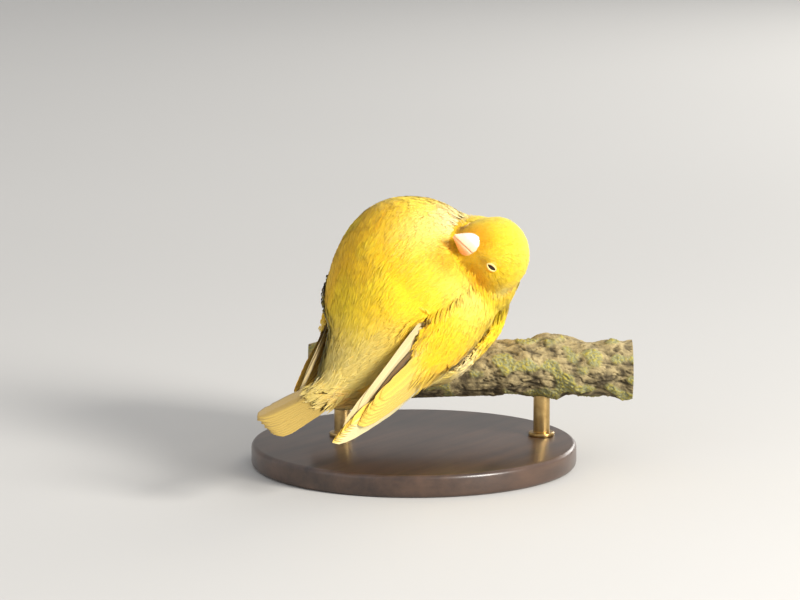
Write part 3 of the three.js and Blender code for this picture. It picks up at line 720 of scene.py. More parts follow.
def plumage_colour(points):
    """The plumage's colours at points in millimetres, with painted light and shade in some marks: the same
    on skin, coat and small feathers.
    """
    p = np.asarray(points) - BODY_CENTRE
    q = local(HEAD, points)
    colour = np.repeat(LEMON[None], len(p), 0)

    def paint(target, amount):
        nonlocal colour
        colour = mix(colour, target, np.clip(amount, 0, 1)[:, None])

    def mark(rows, where, share):
        for target, strength, centre, reach in rows:
            paint(target, share * strength * around(where, centre, reach))

    on_head = head_share(points)
    body = 1 - on_head
    uneven = ramp(-0.25, 0.45, noise_at(points, 0.13))
    paint(GOLD, body * 0.45 * uneven)
    # Deeper gold on the back's upper left, which turns away from the light: partly the plumage's own gold,
    # partly painted shade
    paint(GOLD, body * 0.85 * around(p, (-16, 8, 12), (9, 10, 14)) * (0.5 + 0.5 * uneven))
    paint(GOLD, body * 0.6 * wing_share(points))
    mark(BACK_MARKS, p, body)
    # The rump and the underside are painted in a duller, darker cream: the pale plumage there, darkened by
    # painted shade
    paint(SHADED_CREAM, body * 0.8 * ramp(-14, -28, p[:, 0]) * ramp(4, -10, p[:, 2]))
    paint(SHADED_CREAM, body * 0.5 * ramp(-10, -22, p[:, 2]) * ramp(16, -6, p[:, 0]))
    mark(BODY_MARKS, p, body)
    mark(HEAD_MARKS, q, on_head)
    for side in (1, -1):
        mark(CHEEK_MARKS, q * (1, side, 1), on_head)
    return colour


# Skin

def with_modifier(piece, kind, **settings):
    """Applies one modifier to a piece's mesh."""
    modifier = piece.modifiers.new(kind.lower(), kind)
    for key, value in settings.items():
        setattr(modifier, key, value)
    bpy.context.view_layer.objects.active = piece
    bpy.ops.object.modifier_apply(modifier=modifier.name)


def arrays_of(piece):
    """A piece's points in millimetres, their normals and its triangles."""
    mesh = piece.data
    mesh.calc_loop_triangles()
    points, normals = np.empty((2, len(mesh.vertices) * 3), np.float32)
    mesh.vertices.foreach_get("co", points)
    mesh.vertices.foreach_get("normal", normals)
    triangles = np.empty(len(mesh.loop_triangles) * 3, np.int32)
    mesh.loop_triangles.foreach_get("vertices", triangles)
    return points.reshape(-1, 3) / MM, normals.reshape(-1, 3), triangles.reshape(-1, 3)


def make_skin():
    """One skin without seams over trunk, neck, head, tail root and the wings' fleshy parts."""
    trunk, trunk_faces = loft(TRUNK, BODY, -BODY_COAT, 180, 14, trunk_dent, lean)
    parts = [
        (pressed_by_wings(trunk), trunk_faces),
        ellipsoid(NECK_PLACE, NECK_RADII - BODY_COAT, BODY),
        loft(SKULL[:-2] + FACE_END, HEAD, -HEAD_COAT),
        loft(TAIL_STUB, TAIL, 0),
    ]
    parts += [wing_arm(wing) for wing in WINGS.values()]
    skin = make_mesh("skin", *join(parts), PLUMAGE)
    with_modifier(skin, "REMESH", mode="VOXEL", voxel_size=SKIN_CELL * MM, use_smooth_shade=True)
    with_modifier(skin, "SMOOTH", factor=0.5, iterations=SKIN_SMOOTHING)
    # The skin shows only in gaps in the coat; its warmer gold is painted warm shade between the feathers
    tint(skin.data, mix(plumage_colour(arrays_of(skin)[0]), GOLD, 0.3))
    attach(skin, "root")
    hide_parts("head", "neck", "torso")
    return skin


def skin_map(points):
    """Where points lie on an unwrap of the skin, the trunk and the head each round its length."""
    p = np.asarray(points) - BODY_CENTRE
    q = local(HEAD, points)
    on_head = head_share(points)[:, None] > 0.5
    trunk_u = 0.01 + 0.64 * (np.arctan2(p[:, 1], p[:, 2] + 3) / (2 * math.pi) + 0.5)
    trunk_v = 0.01 + 0.97 * np.clip((p[:, 0] + 42) / 76, 0, 1)
    head_u = 0.68 + 0.3 * (np.arctan2(q[:, 1], q[:, 2]) / (2 * math.pi) + 0.5)
    head_v = 0.01 + 0.97 * np.clip((q[:, 0] + 15) / 26, 0, 1)
    return np.where(on_head, np.column_stack((head_u, head_v)), np.column_stack((trunk_u, trunk_v)))


# Coat

def scatter(points, spacing, cell):
    """Indices of points that keep their own spacing from each other, taken in order."""
    kept, grid = [], {}
    keys = np.floor(points / cell).astype(int)
    around_cell = [(i, j, k) for i in (-1, 0, 1) for j in (-1, 0, 1) for k in (-1, 0, 1)]
    for index, ((x, y, z), (a, b, c)) in enumerate(zip(points, keys)):
        close_by = (spot for i, j, k in around_cell for spot in grid.get((a + i, b + j, c + k), ()))
        limit = spacing[index] ** 2
        if all((x - ox) ** 2 + (y - oy) ** 2 + (z - oz) ** 2 >= limit for ox, oy, oz in close_by):
            grid.setdefault((a, b, c), []).append((x, y, z))
            kept.append(index)
    return np.array(kept)


def sample_skin(skin, count):
    """Random points all over the skin, with their normals."""
    points, normals, triangles = arrays_of(skin)
    corners = points[triangles]
    area = np.linalg.norm(np.cross(corners[:, 1] - corners[:, 0], corners[:, 2] - corners[:, 0]), axis=1) / 2
    chosen = rng.choice(len(triangles), count, p=area / area.sum())
    a, b = rng.random(count), rng.random(count)
    flip = a + b > 1
    a, b = np.where(flip, 1 - a, a), np.where(flip, 1 - b, b)
    weights = np.stack((1 - a - b, a, b), -1)[..., None]
    where = (points[triangles[chosen]] * weights).sum(1)
    return where, unit((normals[triangles[chosen]] * weights).sum(1))


def lie_of(points, normals):
    """The way the feathers lie: away from the bill on the head, down the neck, and back along the body."""
    p = points - BODY_CENTRE
    q = local(HEAD, points)
    on_head = head_share(points)[:, None]
    from_bill = unit(points - place(HEAD, np.array((8.0, 0, -1.2))))
    for side in (1, -1):
        axes = eye_frame(side)
        eye = local(axes, q) * (1, 1, 0)
        by_eye = np.exp(-((eye ** 2).sum(1) / 4.5))[:, None] * (q[:, 1:2] * side > 0)
        from_bill = from_bill + 0.9 * by_eye * (unit(eye) @ axes[:, :3].T @ HEAD[:, :3].T)
    from_head = unit(points - place(HEAD, np.array((-4.0, 0, 0))))
    low = ramp(12, -16, p[:, 2])
    front = ramp(6, 26, p[:, 0])
    back = np.column_stack((-1 + 0.75 * front, 0 * front, -(0.25 + 0.3 * low + 0.9 * front)))
    on_neck = (around(p, NECK_PLACE, 15) * 0.9)[:, None]
    flow = mix(mix(unit(back), from_head, on_neck), from_bill, on_head)
    for wing in WINGS.values():
        along, across, out, low_edge, high_edge, _ = wing_local(wing, points)
        close = ramp(-2, 4, along) * ramp(60, 50, along) * (np.abs(out) < 9)
        by_low_edge = 0.35 * close * near(across - low_edge, -2, 4) * ramp(34, 26, along)
        by_high_edge = close * near(across - high_edge, -2, 4)
        turned = np.where(out < 0, 0.25 * ramp(22, 34, along), -0.35)
        flow = flow + wing_axes(wing)[2] * (by_low_edge + by_high_edge * turned)[:, None]
    t = local(TAIL, points)
    on_tail = ramp(-8, 8, t[:, 0]) * ramp(14, 8, np.hypot(t[:, 1], t[:, 2]))
    flow = mix(unit(flow), TAIL[:, 0], on_tail[:, None])
    return unit(flow - normals * (flow * normals).sum(1, keepdims=True))


def under_wings(points):
    """Whether points lie under a folded wing's vanes, where they need no coat."""
    covered = False
    for wing in WINGS.values():
        along, across, out, low, high, _ = wing_local(wing, points)
        lengthwise = (along > 24 + 0.8 * (across - low)) & (along < 68)
        covered |= lengthwise & (across > low - 0.4) & (across < high - 8.5) & (np.abs(out) < 9)
    return covered


def is_clear(points):
    """Whether points lie clear of what isn't coated: bill, eyes, wings, tail, feet and branch."""
    q = local(HEAD, points)
    clear = ~under_wings(points)
    taper = np.clip((BILL_TIP + 1 - q[:, 0]) / (BILL_TIP - BILL_BASE), 0, 1)
    beside_bill = (q[:, 0] > 6.9) & (q[:, 0] < BILL_TIP + 0.3) & (np.abs(q[:, 1]) < 0.4 + 2.9 * taper)
    clear &= ~(beside_bill & (q[:, 2] < 4.2 * taper - 2.2) & (q[:, 2] > -2.8 - 2.6 * taper))
    for side in (1, -1):
        eye = local(eye_frame(side), q) / (*LID_CLEARING, 1) * (1, 1, 0)
        clear &= ((eye ** 2).sum(1) > 1) | (q[:, 1] * side < 4)
    t = local(TAIL, points)
    clear &= ~((t[:, 0] > 15.5) & (np.abs(t[:, 1]) < 4.2) & (np.abs(t[:, 2]) < 2.0))
    b = local(PERCH, points)
    return clear & (np.hypot(b[:, 1], b[:, 2]) > PERCH_RADIUS + 1.6)


def bend_over(surface, points, normals, reach, direction, lift):
    """Points some way along a direction, laid on a surface and lifted off it, and its normals there."""
    starts = points + direction * reach[:, None] + normals * 1.2
    found = np.array([surface.find_nearest(Vector(start))[:2] for start in starts], float)
    return found[:, 0] + found[:, 1] * lift[:, None], unit(found[:, 1])


def blade_mesh(stations, sides, normals, widths):
    """Thin three-sided blades that taper to an edge at the tip, and their points' normals."""
    points = np.empty((len(stations), 8, 3))
    facing = np.empty_like(points)
    for s in (0, 1):
        half = widths[:, s, None]
        points[:, 3 * s] = stations[:, s] - sides * half
        points[:, 3 * s + 1] = stations[:, s] + sides * half
        points[:, 3 * s + 2] = stations[:, s] + normals[:, s] * half * RIDGE
        facing[:, 3 * s] = normals[:, s] - sides * ROUNDNESS
        facing[:, 3 * s + 1] = normals[:, s] + sides * ROUNDNESS
        facing[:, 3 * s + 2] = normals[:, s]
    half = widths[:, 2, None]
    points[:, 6] = stations[:, 2] - sides * half
    points[:, 7] = stations[:, 2] + sides * half
    facing[:, 6:] = normals[:, 1, None]
    faces = BLADE_FACES[None] + 8 * np.arange(len(stations))[:, None, None]
    return points.reshape(-1, 3), faces.reshape(-1, 3), unit(facing.reshape(-1, 3))


def feather_blades(roots, normals, lie, surface, size, count):
    """Blades of many small feathers, each a fan of blades with a rounded, frayed end."""
    total = len(roots)
    length = size["length"] * (1 + 0.12 * rng.standard_normal(total))
    lift = size["lift"] * (1 + 0.15 * rng.standard_normal(total))
    turn = 0.12 * rng.standard_normal(total)[:, None]
    lie = unit(lie + np.cross(normals, lie) * turn)
    side = unit(np.cross(normals, lie))
    middle, middle_normals = bend_over(surface, roots, normals, length * 0.5, lie, lift * 0.75)
    tips, _ = bend_over(surface, middle, middle_normals, length * 0.5, unit(middle - roots), lift)
    control = 2 * middle - (roots + tips) / 2
    v = np.linspace(-1, 1, count)[None] + 0.12 * rng.standard_normal((total, count))
    start = rng.uniform(0.0, 0.4, (total, count))
    end = 1 - 0.2 * v ** 2 - rng.uniform(0, 0.34, (total, count))
    feather = np.repeat(np.arange(total), count)
    stations = np.empty((total * count, 3, 3))
    for s, t in enumerate((start, (start + end) / 2, end)):
        t = t.ravel()[:, None]
        line = (1 - t) ** 2 * roots[feather] + 2 * t * (1 - t) * control[feather] + t ** 2 * tips[feather]
        fan = 0.3 + 0.7 * np.sin(math.pi / 2 * np.minimum(t / 0.6, 1)) - 0.8 * np.maximum(0, t - 0.6)
        spread = size["half"][feather][:, None] * v.ravel()[:, None] * fan
        stations[:, s] = line + side[feather] * spread
    stations += rng.normal(0, 0.05, (total * count, 1, 1)) * normals[feather][:, None]
    return feather, stations, side[feather], np.stack((normals[feather], middle_normals[feather]), 1)


def coat_piece(name, roots, normals, surface, size, count):
    """One piece of coat, with its colours and its map."""
    lie = lie_of(roots, normals)
    feather, stations, sides, section_normals = feather_blades(roots, normals, lie, surface, size, count)
    total = len(stations)
    width = size["blade"][feather] * rng.uniform(0.75, 1.2, total)
    points, faces, facing = blade_mesh(stations, sides, section_normals, np.outer(width, BLADE_TAPER))
    base = plumage_colour(roots) * (1 + 0.035 * rng.standard_normal((len(roots), 1)))
    tone = base[feather] * (1 + 0.035 * rng.standard_normal((total, 1)))
    # Blades are warmer and a little darker at the root: partly the feathers' own deeper base, partly painted
    # warm shade deep in the coat
    at_root = mix(tone, GOLD, 0.3) * 0.97
    at_tip = mix(tone, PALE_LEMON, 0.08)
    colours = np.stack([at_root] * 3 + [tone] * 3 + [at_tip] * 2, 1).reshape(-1, 3)
    bake = (skin_map(roots)[feather][:, None] + BLADE_MAP[None]).reshape(-1, 2)
    piece = make_mesh(name, points, faces, PLUMAGE, np.clip(colours, 0, 1), bake)
    piece.data.normals_split_custom_set_from_vertices(facing.tolist())
    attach(piece, "root")


def head_feathers(where, thin):
    """Which places carry feathers of the head, and their sizes, smallest on the face."""
    face = ramp(-4, 6, local(HEAD, where)[:, 0])
    chosen = scatter(where, mix(*HEAD_SPACING, face) * thin, 0.75 * thin)
    return chosen, {key: mix(*ends, face[chosen]) for key, ends in HEAD_FEATHERS.items()}


def body_feathers(where, thin):
    """Which places carry feathers of neck, body and wings, and their sizes: long on rump and wings."""
    p = where - BODY_CENTRE
    neck = around(p, NECK_PLACE, 15)
    close_set = np.clip(around(p, (9, -11, 20), (10, 8, 8)) + around(p, (0, -19, 2), (7, 6, 7))
                        + around(p, (11, -18, -8), (7, 7, 7)), 0, 1)
    chosen = scatter(where, mix(0.98, 0.82, neck) * (1 - 0.2 * close_set) * thin, 1.0 * thin)
    p, neck, close_set = p[chosen], neck[chosen], close_set[chosen]
    rump = ramp(-27, -36, p[:, 0])
    on_wing = wing_share(where[chosen])
    on_edge = wing_edge(where[chosen])
    flank = around(p, (-6, -14, -20), (11, 8, 6))
    length = mix(7.2, 5.2, neck) + 3.0 * rump + 1.5 * flank + 1.2 * on_wing - 1.0 * close_set - 2.4 * on_edge
    return chosen, {
        "length": length,
        "half": mix(1.4, 1.0, neck) + 0.2 * rump + 0.2 * on_wing,
        "lift": np.maximum(0.12, 0.5 - 0.32 * rump + 0.2 * flank - 0.3 * on_wing - 0.35 * on_edge),
        "blade": mix(0.2, 0.15, neck),
    }


def surface_over(parts):
    """Parts as one surface that feathers can be laid on."""
    points, faces = join(parts)
    return BVHTree.FromPolygons(points.tolist(), faces.tolist())


def make_coat(skin):
    """The small feathers of head, wings and body, in pieces of fewer than 200,000 triangles."""
    thin = 1.0
    skin_points, _, skin_faces = arrays_of(skin)
    under_body = [(skin_points, skin_faces), loft(TAIL_COVER, TAIL, 0)]
    body_surface = surface_over(under_body)
    wing_surface = surface_over(under_body + [wing_cover(wing) for wing in WINGS.values()])
    where, normals = sample_skin(skin, COAT_TRIES)
    clear = is_clear(where)
    where, normals = where[clear], normals[clear]
    on_head = head_share(where) > 0.5
    on_wing = ~on_head & (wing_share(where) > 0.5)
    zones = {
        "head": (head_feathers, on_head, body_surface, HEAD_BLADES),
        "wings": (body_feathers, on_wing, wing_surface, BODY_BLADES),
        "body": (body_feathers, ~on_head & ~on_wing, body_surface, BODY_BLADES),
    }
    for zone, (feathers, inside, surface, count) in zones.items():
        chosen, size = feathers(where[inside], thin)
        roots, root_normals = where[inside][chosen], normals[inside][chosen]
        order = np.argsort(roots[:, 0])
        pieces = math.ceil(len(roots) * count * len(BLADE_FACES) / PIECE_TRIANGLES)
        for number, part in enumerate(np.array_split(order, pieces), 1):
            own = {key: value[part] for key, value in size.items()}
            coat_piece(f"coat_{zone}_{number}", roots[part], root_normals[part], surface, own, count)


# Flight feathers

BEIGE = srgb(214, 194, 142)
PALE_EDGE = srgb(252, 240, 184)
YELLOW_WEB = srgb(230, 190, 74)
YELLOW_EDGE = srgb(246, 208, 82)
SHADE_UMBER = srgb(112, 84, 44)
SHADED_TAIL_WEB = srgb(142, 118, 62)
SHAFT = srgb(232, 214, 160)

# Tiers of long feathers, each from its lowest: how many, half a vane's width, how it tilts and arches, where
# root and tip lie along, across and out from the sheet, and the colours of vane, outer edge and shaft
WING_TIERS = {
    "primaries": dict(count=8, half=2.3, tilt=0.12, roots=((19, 2.6, -2.0), (20, 9.4, -0.4)),
                      tips=((70, 0.8, -1.6), (64, 4.2, 0.2)),
                      colours=(mix(YELLOW_WEB, YELLOW_EDGE, 0.5), PALE_EDGE, SHAFT)),
    "tertials": dict(count=2, half=1.4, tilt=0.2, arch=3.4, roots=((13, 15.8, -0.9), (12, 16.8, -0.6)),
                     tips=((65, 3.8, -1.3), (60, 6.2, -1.0)), colours=(BEIGE, BEIGE, SHAFT)),
    # The shade strip is a thin dark brown sheet under the tertials' lower edge: painted shade between
    # tertials and secondaries
    "shade_strip": dict(count=2, half=0.6, tilt=0.1, arch=3.0, roots=((22, 13.6, 0.1), (24, 13.4, 0.2)),
                       tips=((56, 5.4, -0.1), (58, 5.2, 0.0)), colours=(SHADE_UMBER, SHADE_UMBER, SHADE_UMBER)),
    "secondaries": dict(count=7, half=2.5, tilt=0.1, roots=((18, 7.0, 0.6), (14, 13.2, 1.2)),
                        tips=((63, 3.4, 0.6), (54, 7.8, 1.3)),
                        colours=(YELLOW_WEB, YELLOW_EDGE, YELLOW_EDGE)),
}
# The tail's dark olive vanes are painted shade cast by the body; the yellow outer edges are their own colour
TAIL_TIER = dict(count=11, half=(2.0, 1.9), tilt=0.05, roots=((4, -1.6, -0.25), (4, 1.6, 0.25)),
                 tips=((TAIL_LENGTH - TAIL_FORK / 2, -3.2, -0.3), (TAIL_LENGTH, 3.2, 0.3)),
                 colours=(SHADED_TAIL_WEB, mix(SHADED_TAIL_WEB, YELLOW_EDGE, 0.3), SHADED_TAIL_WEB))


def vane_mesh(point_on, root, tip, half, tilt, arch, seed):
    """One long feather on a curved sheet, with a raised shaft, a rounded tip and small splits."""
    random = np.random.default_rng(seed)
    t = np.linspace(0, 1, VANE_STEPS)
    width = half * np.interp(t, *VANE_OUTLINE)
    side = np.linspace(-1, 1, VANE_COLUMNS + 1)
    split = 1 + 0.015 * random.standard_normal((VANE_STEPS, 2))
    split[random.random((VANE_STEPS, 2)) < 0.03] -= 0.12
    reach = width[:, None] * np.abs(side)[None]
    reach = np.where(side[None] < 0, -reach * split[:, :1], reach * split[:, 1:])
    middle = mix(root[None], tip[None], t[:, None])
    middle[:, 1] += 4 * arch * t * (1 - t)
    shaft = 0.16 * near(side * half, 0, 0.22)[None] * (1 - 0.7 * t[:, None])
    out = middle[:, 2:3] - tilt * reach - VANE_CAMBER * reach ** 2 / half
    body = VANE_THICKNESS * (1 - 0.6 * t[:, None]) / 2 * (1 - 0.6 * np.abs(side)[None] ** 3)
    along = middle[:, :1] + 0 * reach
    top = point_on(along, middle[:, 1:2] + reach, out + body + shaft)
    under = point_on(along, middle[:, 1:2] + reach, out - body)
    points, faces = tube_mesh(np.concatenate((top, under[:, ::-1]), 1))
    slant = np.stack((t[:, None] * np.linalg.norm(tip - root) * 1.1 - np.abs(reach) * 0.9, reach * 0.4), -1)
    chart = np.concatenate((slant, slant[:, ::-1]), 1).reshape(-1, 2)
    chart = np.concatenate((chart, chart[:1], chart[-1:]))
    share = np.concatenate((side, side[::-1]))
    edge = np.concatenate((np.tile(share, VANE_STEPS), (0, 0)))
    return points, faces, chart, edge, np.concatenate((np.repeat(t, len(share)), (0, 1)))


def feather_tier(name, point_on, tier, mirrored=False):
    """One piece of many long feathers."""
    vane, outer, shaft_tint = tier["colours"]
    roots, tips = np.array(tier["roots"], float), np.array(tier["tips"], float)
    meshes, charts, tints = [], [], []
    for k in range(tier["count"]):
        share = k / (tier["count"] - 1)
        tip = mix(*tips, share)
        tip[0] += 0.5 * rng.standard_normal()
        half = mix(*np.broadcast_to(tier["half"], 2), share)
        points, faces, chart, edge, length_share = vane_mesh(
            point_on, mix(*roots, share), tip, half, tier["tilt"], tier.get("arch", 0), SEED + k)
        if mirrored:
            faces = faces[:, ::-1]
        tone = np.repeat(vane[None], len(points), 0) * (1 + 0.05 * rng.standard_normal())
        tone = mix(tone, outer, ramp(-0.35, -0.95, edge)[:, None])
        tone = mix(tone, shaft_tint, near(edge, 0, 0.12)[:, None] * 0.8)
        tone = mix(tone * 0.85, tone, ramp(0.2, 0.9, length_share)[:, None])
        meshes.append((points, faces))
        charts.append(chart)
        tints.append(tone)
    tints, charts = np.clip(np.concatenate(tints), 0, 1), np.concatenate(charts)
    piece = make_mesh(name, *join(meshes), VANES, tints, vane_uv=charts)
    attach(piece, "root")
    return piece


def make_wings():
    for word, wing in WINGS.items():
        for tier_name, tier in WING_TIERS.items():
            name = f"wing_{word}_{tier_name}"
            piece = feather_tier(name, partial(wing_point, wing), tier, wing["side"] > 0)
            if tier_name == "primaries":
                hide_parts(f"wing_{word}")


def make_tail():
    """The folded tail as one sheet of feathers, each lying over the next lower one."""
    def point_on(along, across, out):
        return place(TAIL, np.stack((along, -across, out), -1))

    tail = feather_tier("tail_feathers", point_on, TAIL_TIER)
    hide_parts("tail")


# Bill, eyes and lids

def bill_half(word, sign, tip, ridge_ends, power):
    """One half of the bill, from its base to its tip, between the mouth's line and its ridge."""
    steps, arc = 26, 28
    t = np.linspace(0, 1, steps)
    x = mix(BILL_BASE - 2, tip, t)
    half_width = BILL_HALF_WIDTH * (1 - t ** 1.35) + 0.25 * (1 - t)
    mouth = mix(GAPE_HEIGHT, BILL_DROOP + 0.1, t) + sign * MOUTH_GAP * (1 - 0.7 * t)
    ridge = mix(*ridge_ends, t ** power)
    turn = math.pi * np.arange(arc + 1) / arc + (0 if sign > 0 else math.pi)
    y = half_width[:, None] * np.cos(turn)
    z = mouth[:, None] + (ridge - mouth)[:, None] * np.abs(np.sin(turn)) ** 0.9
    if sign > 0:
        z = z + 0.12 * near(np.cos(turn), 0, 0.22) * (1 - t[:, None])
    rings = np.stack((np.repeat(x[:, None], arc + 1, 1), y, z), -1)
    points, faces = tube_mesh(place(HEAD, rings))
    height = local(HEAD, points)[:, 2:]
    pink, lit_ivory, peach = srgb(252, 206, 170), srgb(255, 240, 228), srgb(248, 178, 120)
    # The bill pales to ivory on top: painted highlight where light falls on its ridge
    colour = mix(pink[None], lit_ivory, ramp(-0.6, 1.2, height))
    colour = mix(colour, peach, ramp(-1.2, -3.5, height) * 0.8)
    piece = make_mesh(f"bill_{word}_horn", points, faces, BILL, colour)
    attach(piece, "root")
    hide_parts(f"bill_{word}")


def make_eye(side):
    """The eyeball, and two lids nearly closed over it with a cream, finely ringed rim."""
    word = "left" if side > 0 else "right"
    points, faces = ellipsoid(EYE_PLACE * (1, side, 1), (EYE_RADIUS,) * 3, HEAD, 28, 36)
    ball = make_mesh(f"eyeball_{word}", points, faces, EYE)
    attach(ball, "root")
    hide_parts(f"eye_{word}")
    rings, sides = 15, 64
    turn = turns(sides)
    slit = np.stack((np.cos(turn), np.sin(turn) * np.abs(np.sin(turn)) ** 0.4), -1) * SLIT_SIZE
    rim = np.stack((np.cos(turn), np.sin(turn)), -1) * LID_SIZE
    layers, tints = [], []
    for share in np.linspace(0, 1, rings):
        flat = mix(slit, rim, share ** 0.9)
        bulge = 0.2 * math.exp(-((share - 0.12) / 0.12) ** 2) + 0.03 * math.cos(share * 30) * (1 - share)
        radius = EYE_RADIUS + LID_THICKNESS + bulge - 0.4 * ramp(0.6, 1.0, share)
        depth = np.sqrt(np.maximum(radius ** 2 - (flat ** 2).sum(1), 0.2))
        layers.append(np.column_stack((flat, depth)))
        tints.append(mix(srgb(250, 222, 150), mix(GOLD, OLIVE, 0.3), ramp(0.14, 0.32, share)))
    outer = np.array(layers)
    both = np.concatenate((outer, (outer - (0, 0, 0.3))[::-1]))
    faces = ring_faces(2 * rings, sides, closed=True)[:, ::-1]
    axes = eye_frame(side)
    if np.linalg.det(axes[:, :3]) < 0:
        faces = faces[:, ::-1]
    tints = np.repeat(np.array(tints + tints[::-1]), sides, 0)
    lids = make_mesh(f"lids_{word}", place(HEAD, place(axes, both.reshape(-1, 3))), faces, LIDS, tints)
    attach(lids, "root")


# Feet

def curve_tube(points, radii, sides=14, steps=40):
    """A tube along a smooth curve through points, with radii spread evenly along it."""
    line = smooth_stations(points, np.linspace(0, len(points) - 1, steps))
    radius = smooth_stations(np.asarray(radii, float)[:, None], np.linspace(0, len(radii) - 1, steps))[:, 0]
    tangent = unit(np.gradient(line, axis=0))
    normal = unit(np.cross(tangent, np.array((0.31, 0.22, 0.92))))
    binormal = np.cross(tangent, normal)
    turn = turns(sides)[None, :, None]
    ring = normal[:, None] * np.cos(turn) + binormal[:, None] * np.sin(turn)
    return tube_mesh(line[:, None] + ring * radius[:, None, None])


def toe_points(along_place, heading, splay, start, end, swell):
    turn = np.linspace(start, end, 8)
    lift = TOE_RING + swell * np.sin(np.linspace(0, 2 * math.pi, 8)) ** 2
    along = along_place + splay * turn * TOE_RING * 0.6
    return place(PERCH, np.stack((along, heading * lift * np.sin(turn), lift * np.cos(turn)), -1))


def make_leg(side):
    """A foot that grips the branch with three toes in front and one behind, and its claws."""
    word = "left" if side > 0 else "right"
    along = LEG_PLACE - side * LEG_SPREAD
    foot = place(PERCH, np.array(((along, 0, TOE_RING + 0.3), (along, -2, TOE_RING + 2.6),
                                  (along, -4, PERCH_RADIUS + 6.5))))
    skin_parts = [curve_tube(foot, (1.25, 1.0, 1.3), 18, 24),
                  ellipsoid((along, 0, TOE_RING + 0.4), (1.8, 1.8, 1.2), PERCH, 14, 20)]
    claws = []
    for heading, splay, length, claw in ((1, -0.42, 9, 4.0), (1, 0, 12.5, 4.5), (1, 0.42, 10, 4.2),
                                         (-1, side * 0.1, 9, 5.5)):
        reach = length / TOE_RING
        toe = toe_points(along, heading, splay, 0, reach, 0.3)
        skin_parts.append(curve_tube(toe, (1.1, 0.95, 1.05, 0.85, 0.95, 0.8, 0.85, 0.5)))
        nail = toe_points(along, heading, splay, reach * 0.96, reach + claw / TOE_RING, 0)
        claws.append(curve_tube(nail, (0.5, 0.52, 0.4, 0.25, 0.08), 10, 18))
    leg = make_mesh(f"foot_{word}", *join(skin_parts), LEGS)
    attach(leg, "root")
    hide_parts(f"leg_{word}")
    nails = make_mesh(f"claws_{word}", *join(claws), CLAWS)
    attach(nails, "root")


# Branch and stand

def bark_swell(along, turn):
    """The branch's slow swellings, its knot and the stub of a twig, which fade where the feet grip."""
    clear_of_feet = ramp(14, 24, np.abs(along - LEG_PLACE))
    lumps = 0.35 * np.sin(along * 0.31 + 2 * turn) + 0.3 * np.sin(along * 0.73 - 3 * turn)
    knot = 1.6 * np.exp(-((along - 37) ** 2) / 22 - (1 - np.cos(turn - 1.2)) * 5)
    stub = 1.3 * np.exp(-((along + 21) ** 2) / 12 - (1 - np.cos(turn - 4.2)) * 6)
    return clear_of_feet * (lumps + knot + stub) - 0.2


def make_perch():
    """The cut branch, with cracked bark, crusts of lichen and sawn ends."""
    steps, sides = 300, 150
    shape = (steps, sides)
    along = np.linspace(-PERCH_LEFT, PERCH_RIGHT, steps)[:, None] + np.zeros((1, sides))
    turn = np.zeros((steps, 1)) + turns(sides)[None]
    spots = np.stack((along * 0.3, np.cos(turn) * 2.4, np.sin(turn) * 2.4), -1).reshape(-1, 3)
    rough = np.array([noise.fractal(Vector(s) * 1.6, 0.9, 2.1, 5) for s in spots]).reshape(shape)
    cracks = -0.5 * near(noise_at(spots * (0.7, 2.2, 2.2), 1).reshape(shape), 0, 0.07)
    crust = ramp(0.08, 0.3, noise_at(spots, 0.75, (7, 3, 1)).reshape(shape))
    grain = noise_at(spots, 7).reshape(shape)
    near_feet = 1 - 0.7 * np.exp(-(((along - LEG_PLACE) / 13) ** 4))
    relief = near_feet * (0.25 * rough + cracks * (1 - crust) + crust * (0.35 + 0.45 * grain))
    radius = PERCH_RADIUS + bark_swell(along, turn) + relief
    bow = 0.8 * np.sin(along * 0.05)
    rings = np.stack((along, radius * np.cos(turn), bow + radius * np.sin(turn)), -1)
    points, faces = tube_mesh(place(PERCH, rings))
    bark_pale, bark_dark = srgb(176, 160, 118), srgb(78, 68, 48)
    grey_green, yellow_green = srgb(150, 152, 112), srgb(176, 164, 60)
    # The bark is paler on the branch's top and darker under it: painted light and shade
    tone = np.clip(0.55 + 0.9 * rough + 0.3 * np.sin(turn) + 1.2 * cracks, 0, 1)[..., None]
    lichen = mix(grey_green, yellow_green, ramp(-0.1, 0.4, grain)[..., None])
    colour = mix(mix(bark_dark, bark_pale, tone), lichen, (crust * 0.85)[..., None]).reshape(-1, 3)
    colour = np.concatenate((colour, colour[:1], colour[-1:]))
    perch = make_mesh("branch", points, faces, BARK, np.clip(colour, 0, 1))
    perch.data.materials.append(SAWN)
    ends = np.arange(len(faces)) >= len(faces) - 2 * sides
    perch.data.polygons.foreach_set("material_index", ends.astype(np.int32))
    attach(perch, "root")
    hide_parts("perch")


def lathe(radius, low, high, edge, sides=128, centre=(0, 0)):
    """An upright round block with rounded edges."""
    arc = np.linspace(0, math.pi / 2, 6)
    outline = [(0.01, low)]
    outline += [(radius - edge + edge * math.sin(a), low + edge - edge * math.cos(a)) for a in arc]
    outline += [(radius - edge + edge * math.cos(a), high - edge + edge * math.sin(a)) for a in arc]
    outline.append((0.01, high))
    ring, z = np.array(outline).T[:, :, None]
    turn = turns(sides)
    block = (centre[0] + ring * np.cos(turn), centre[1] + ring * np.sin(turn), z + 0 * turn)
    return tube_mesh(np.stack(block, -1))


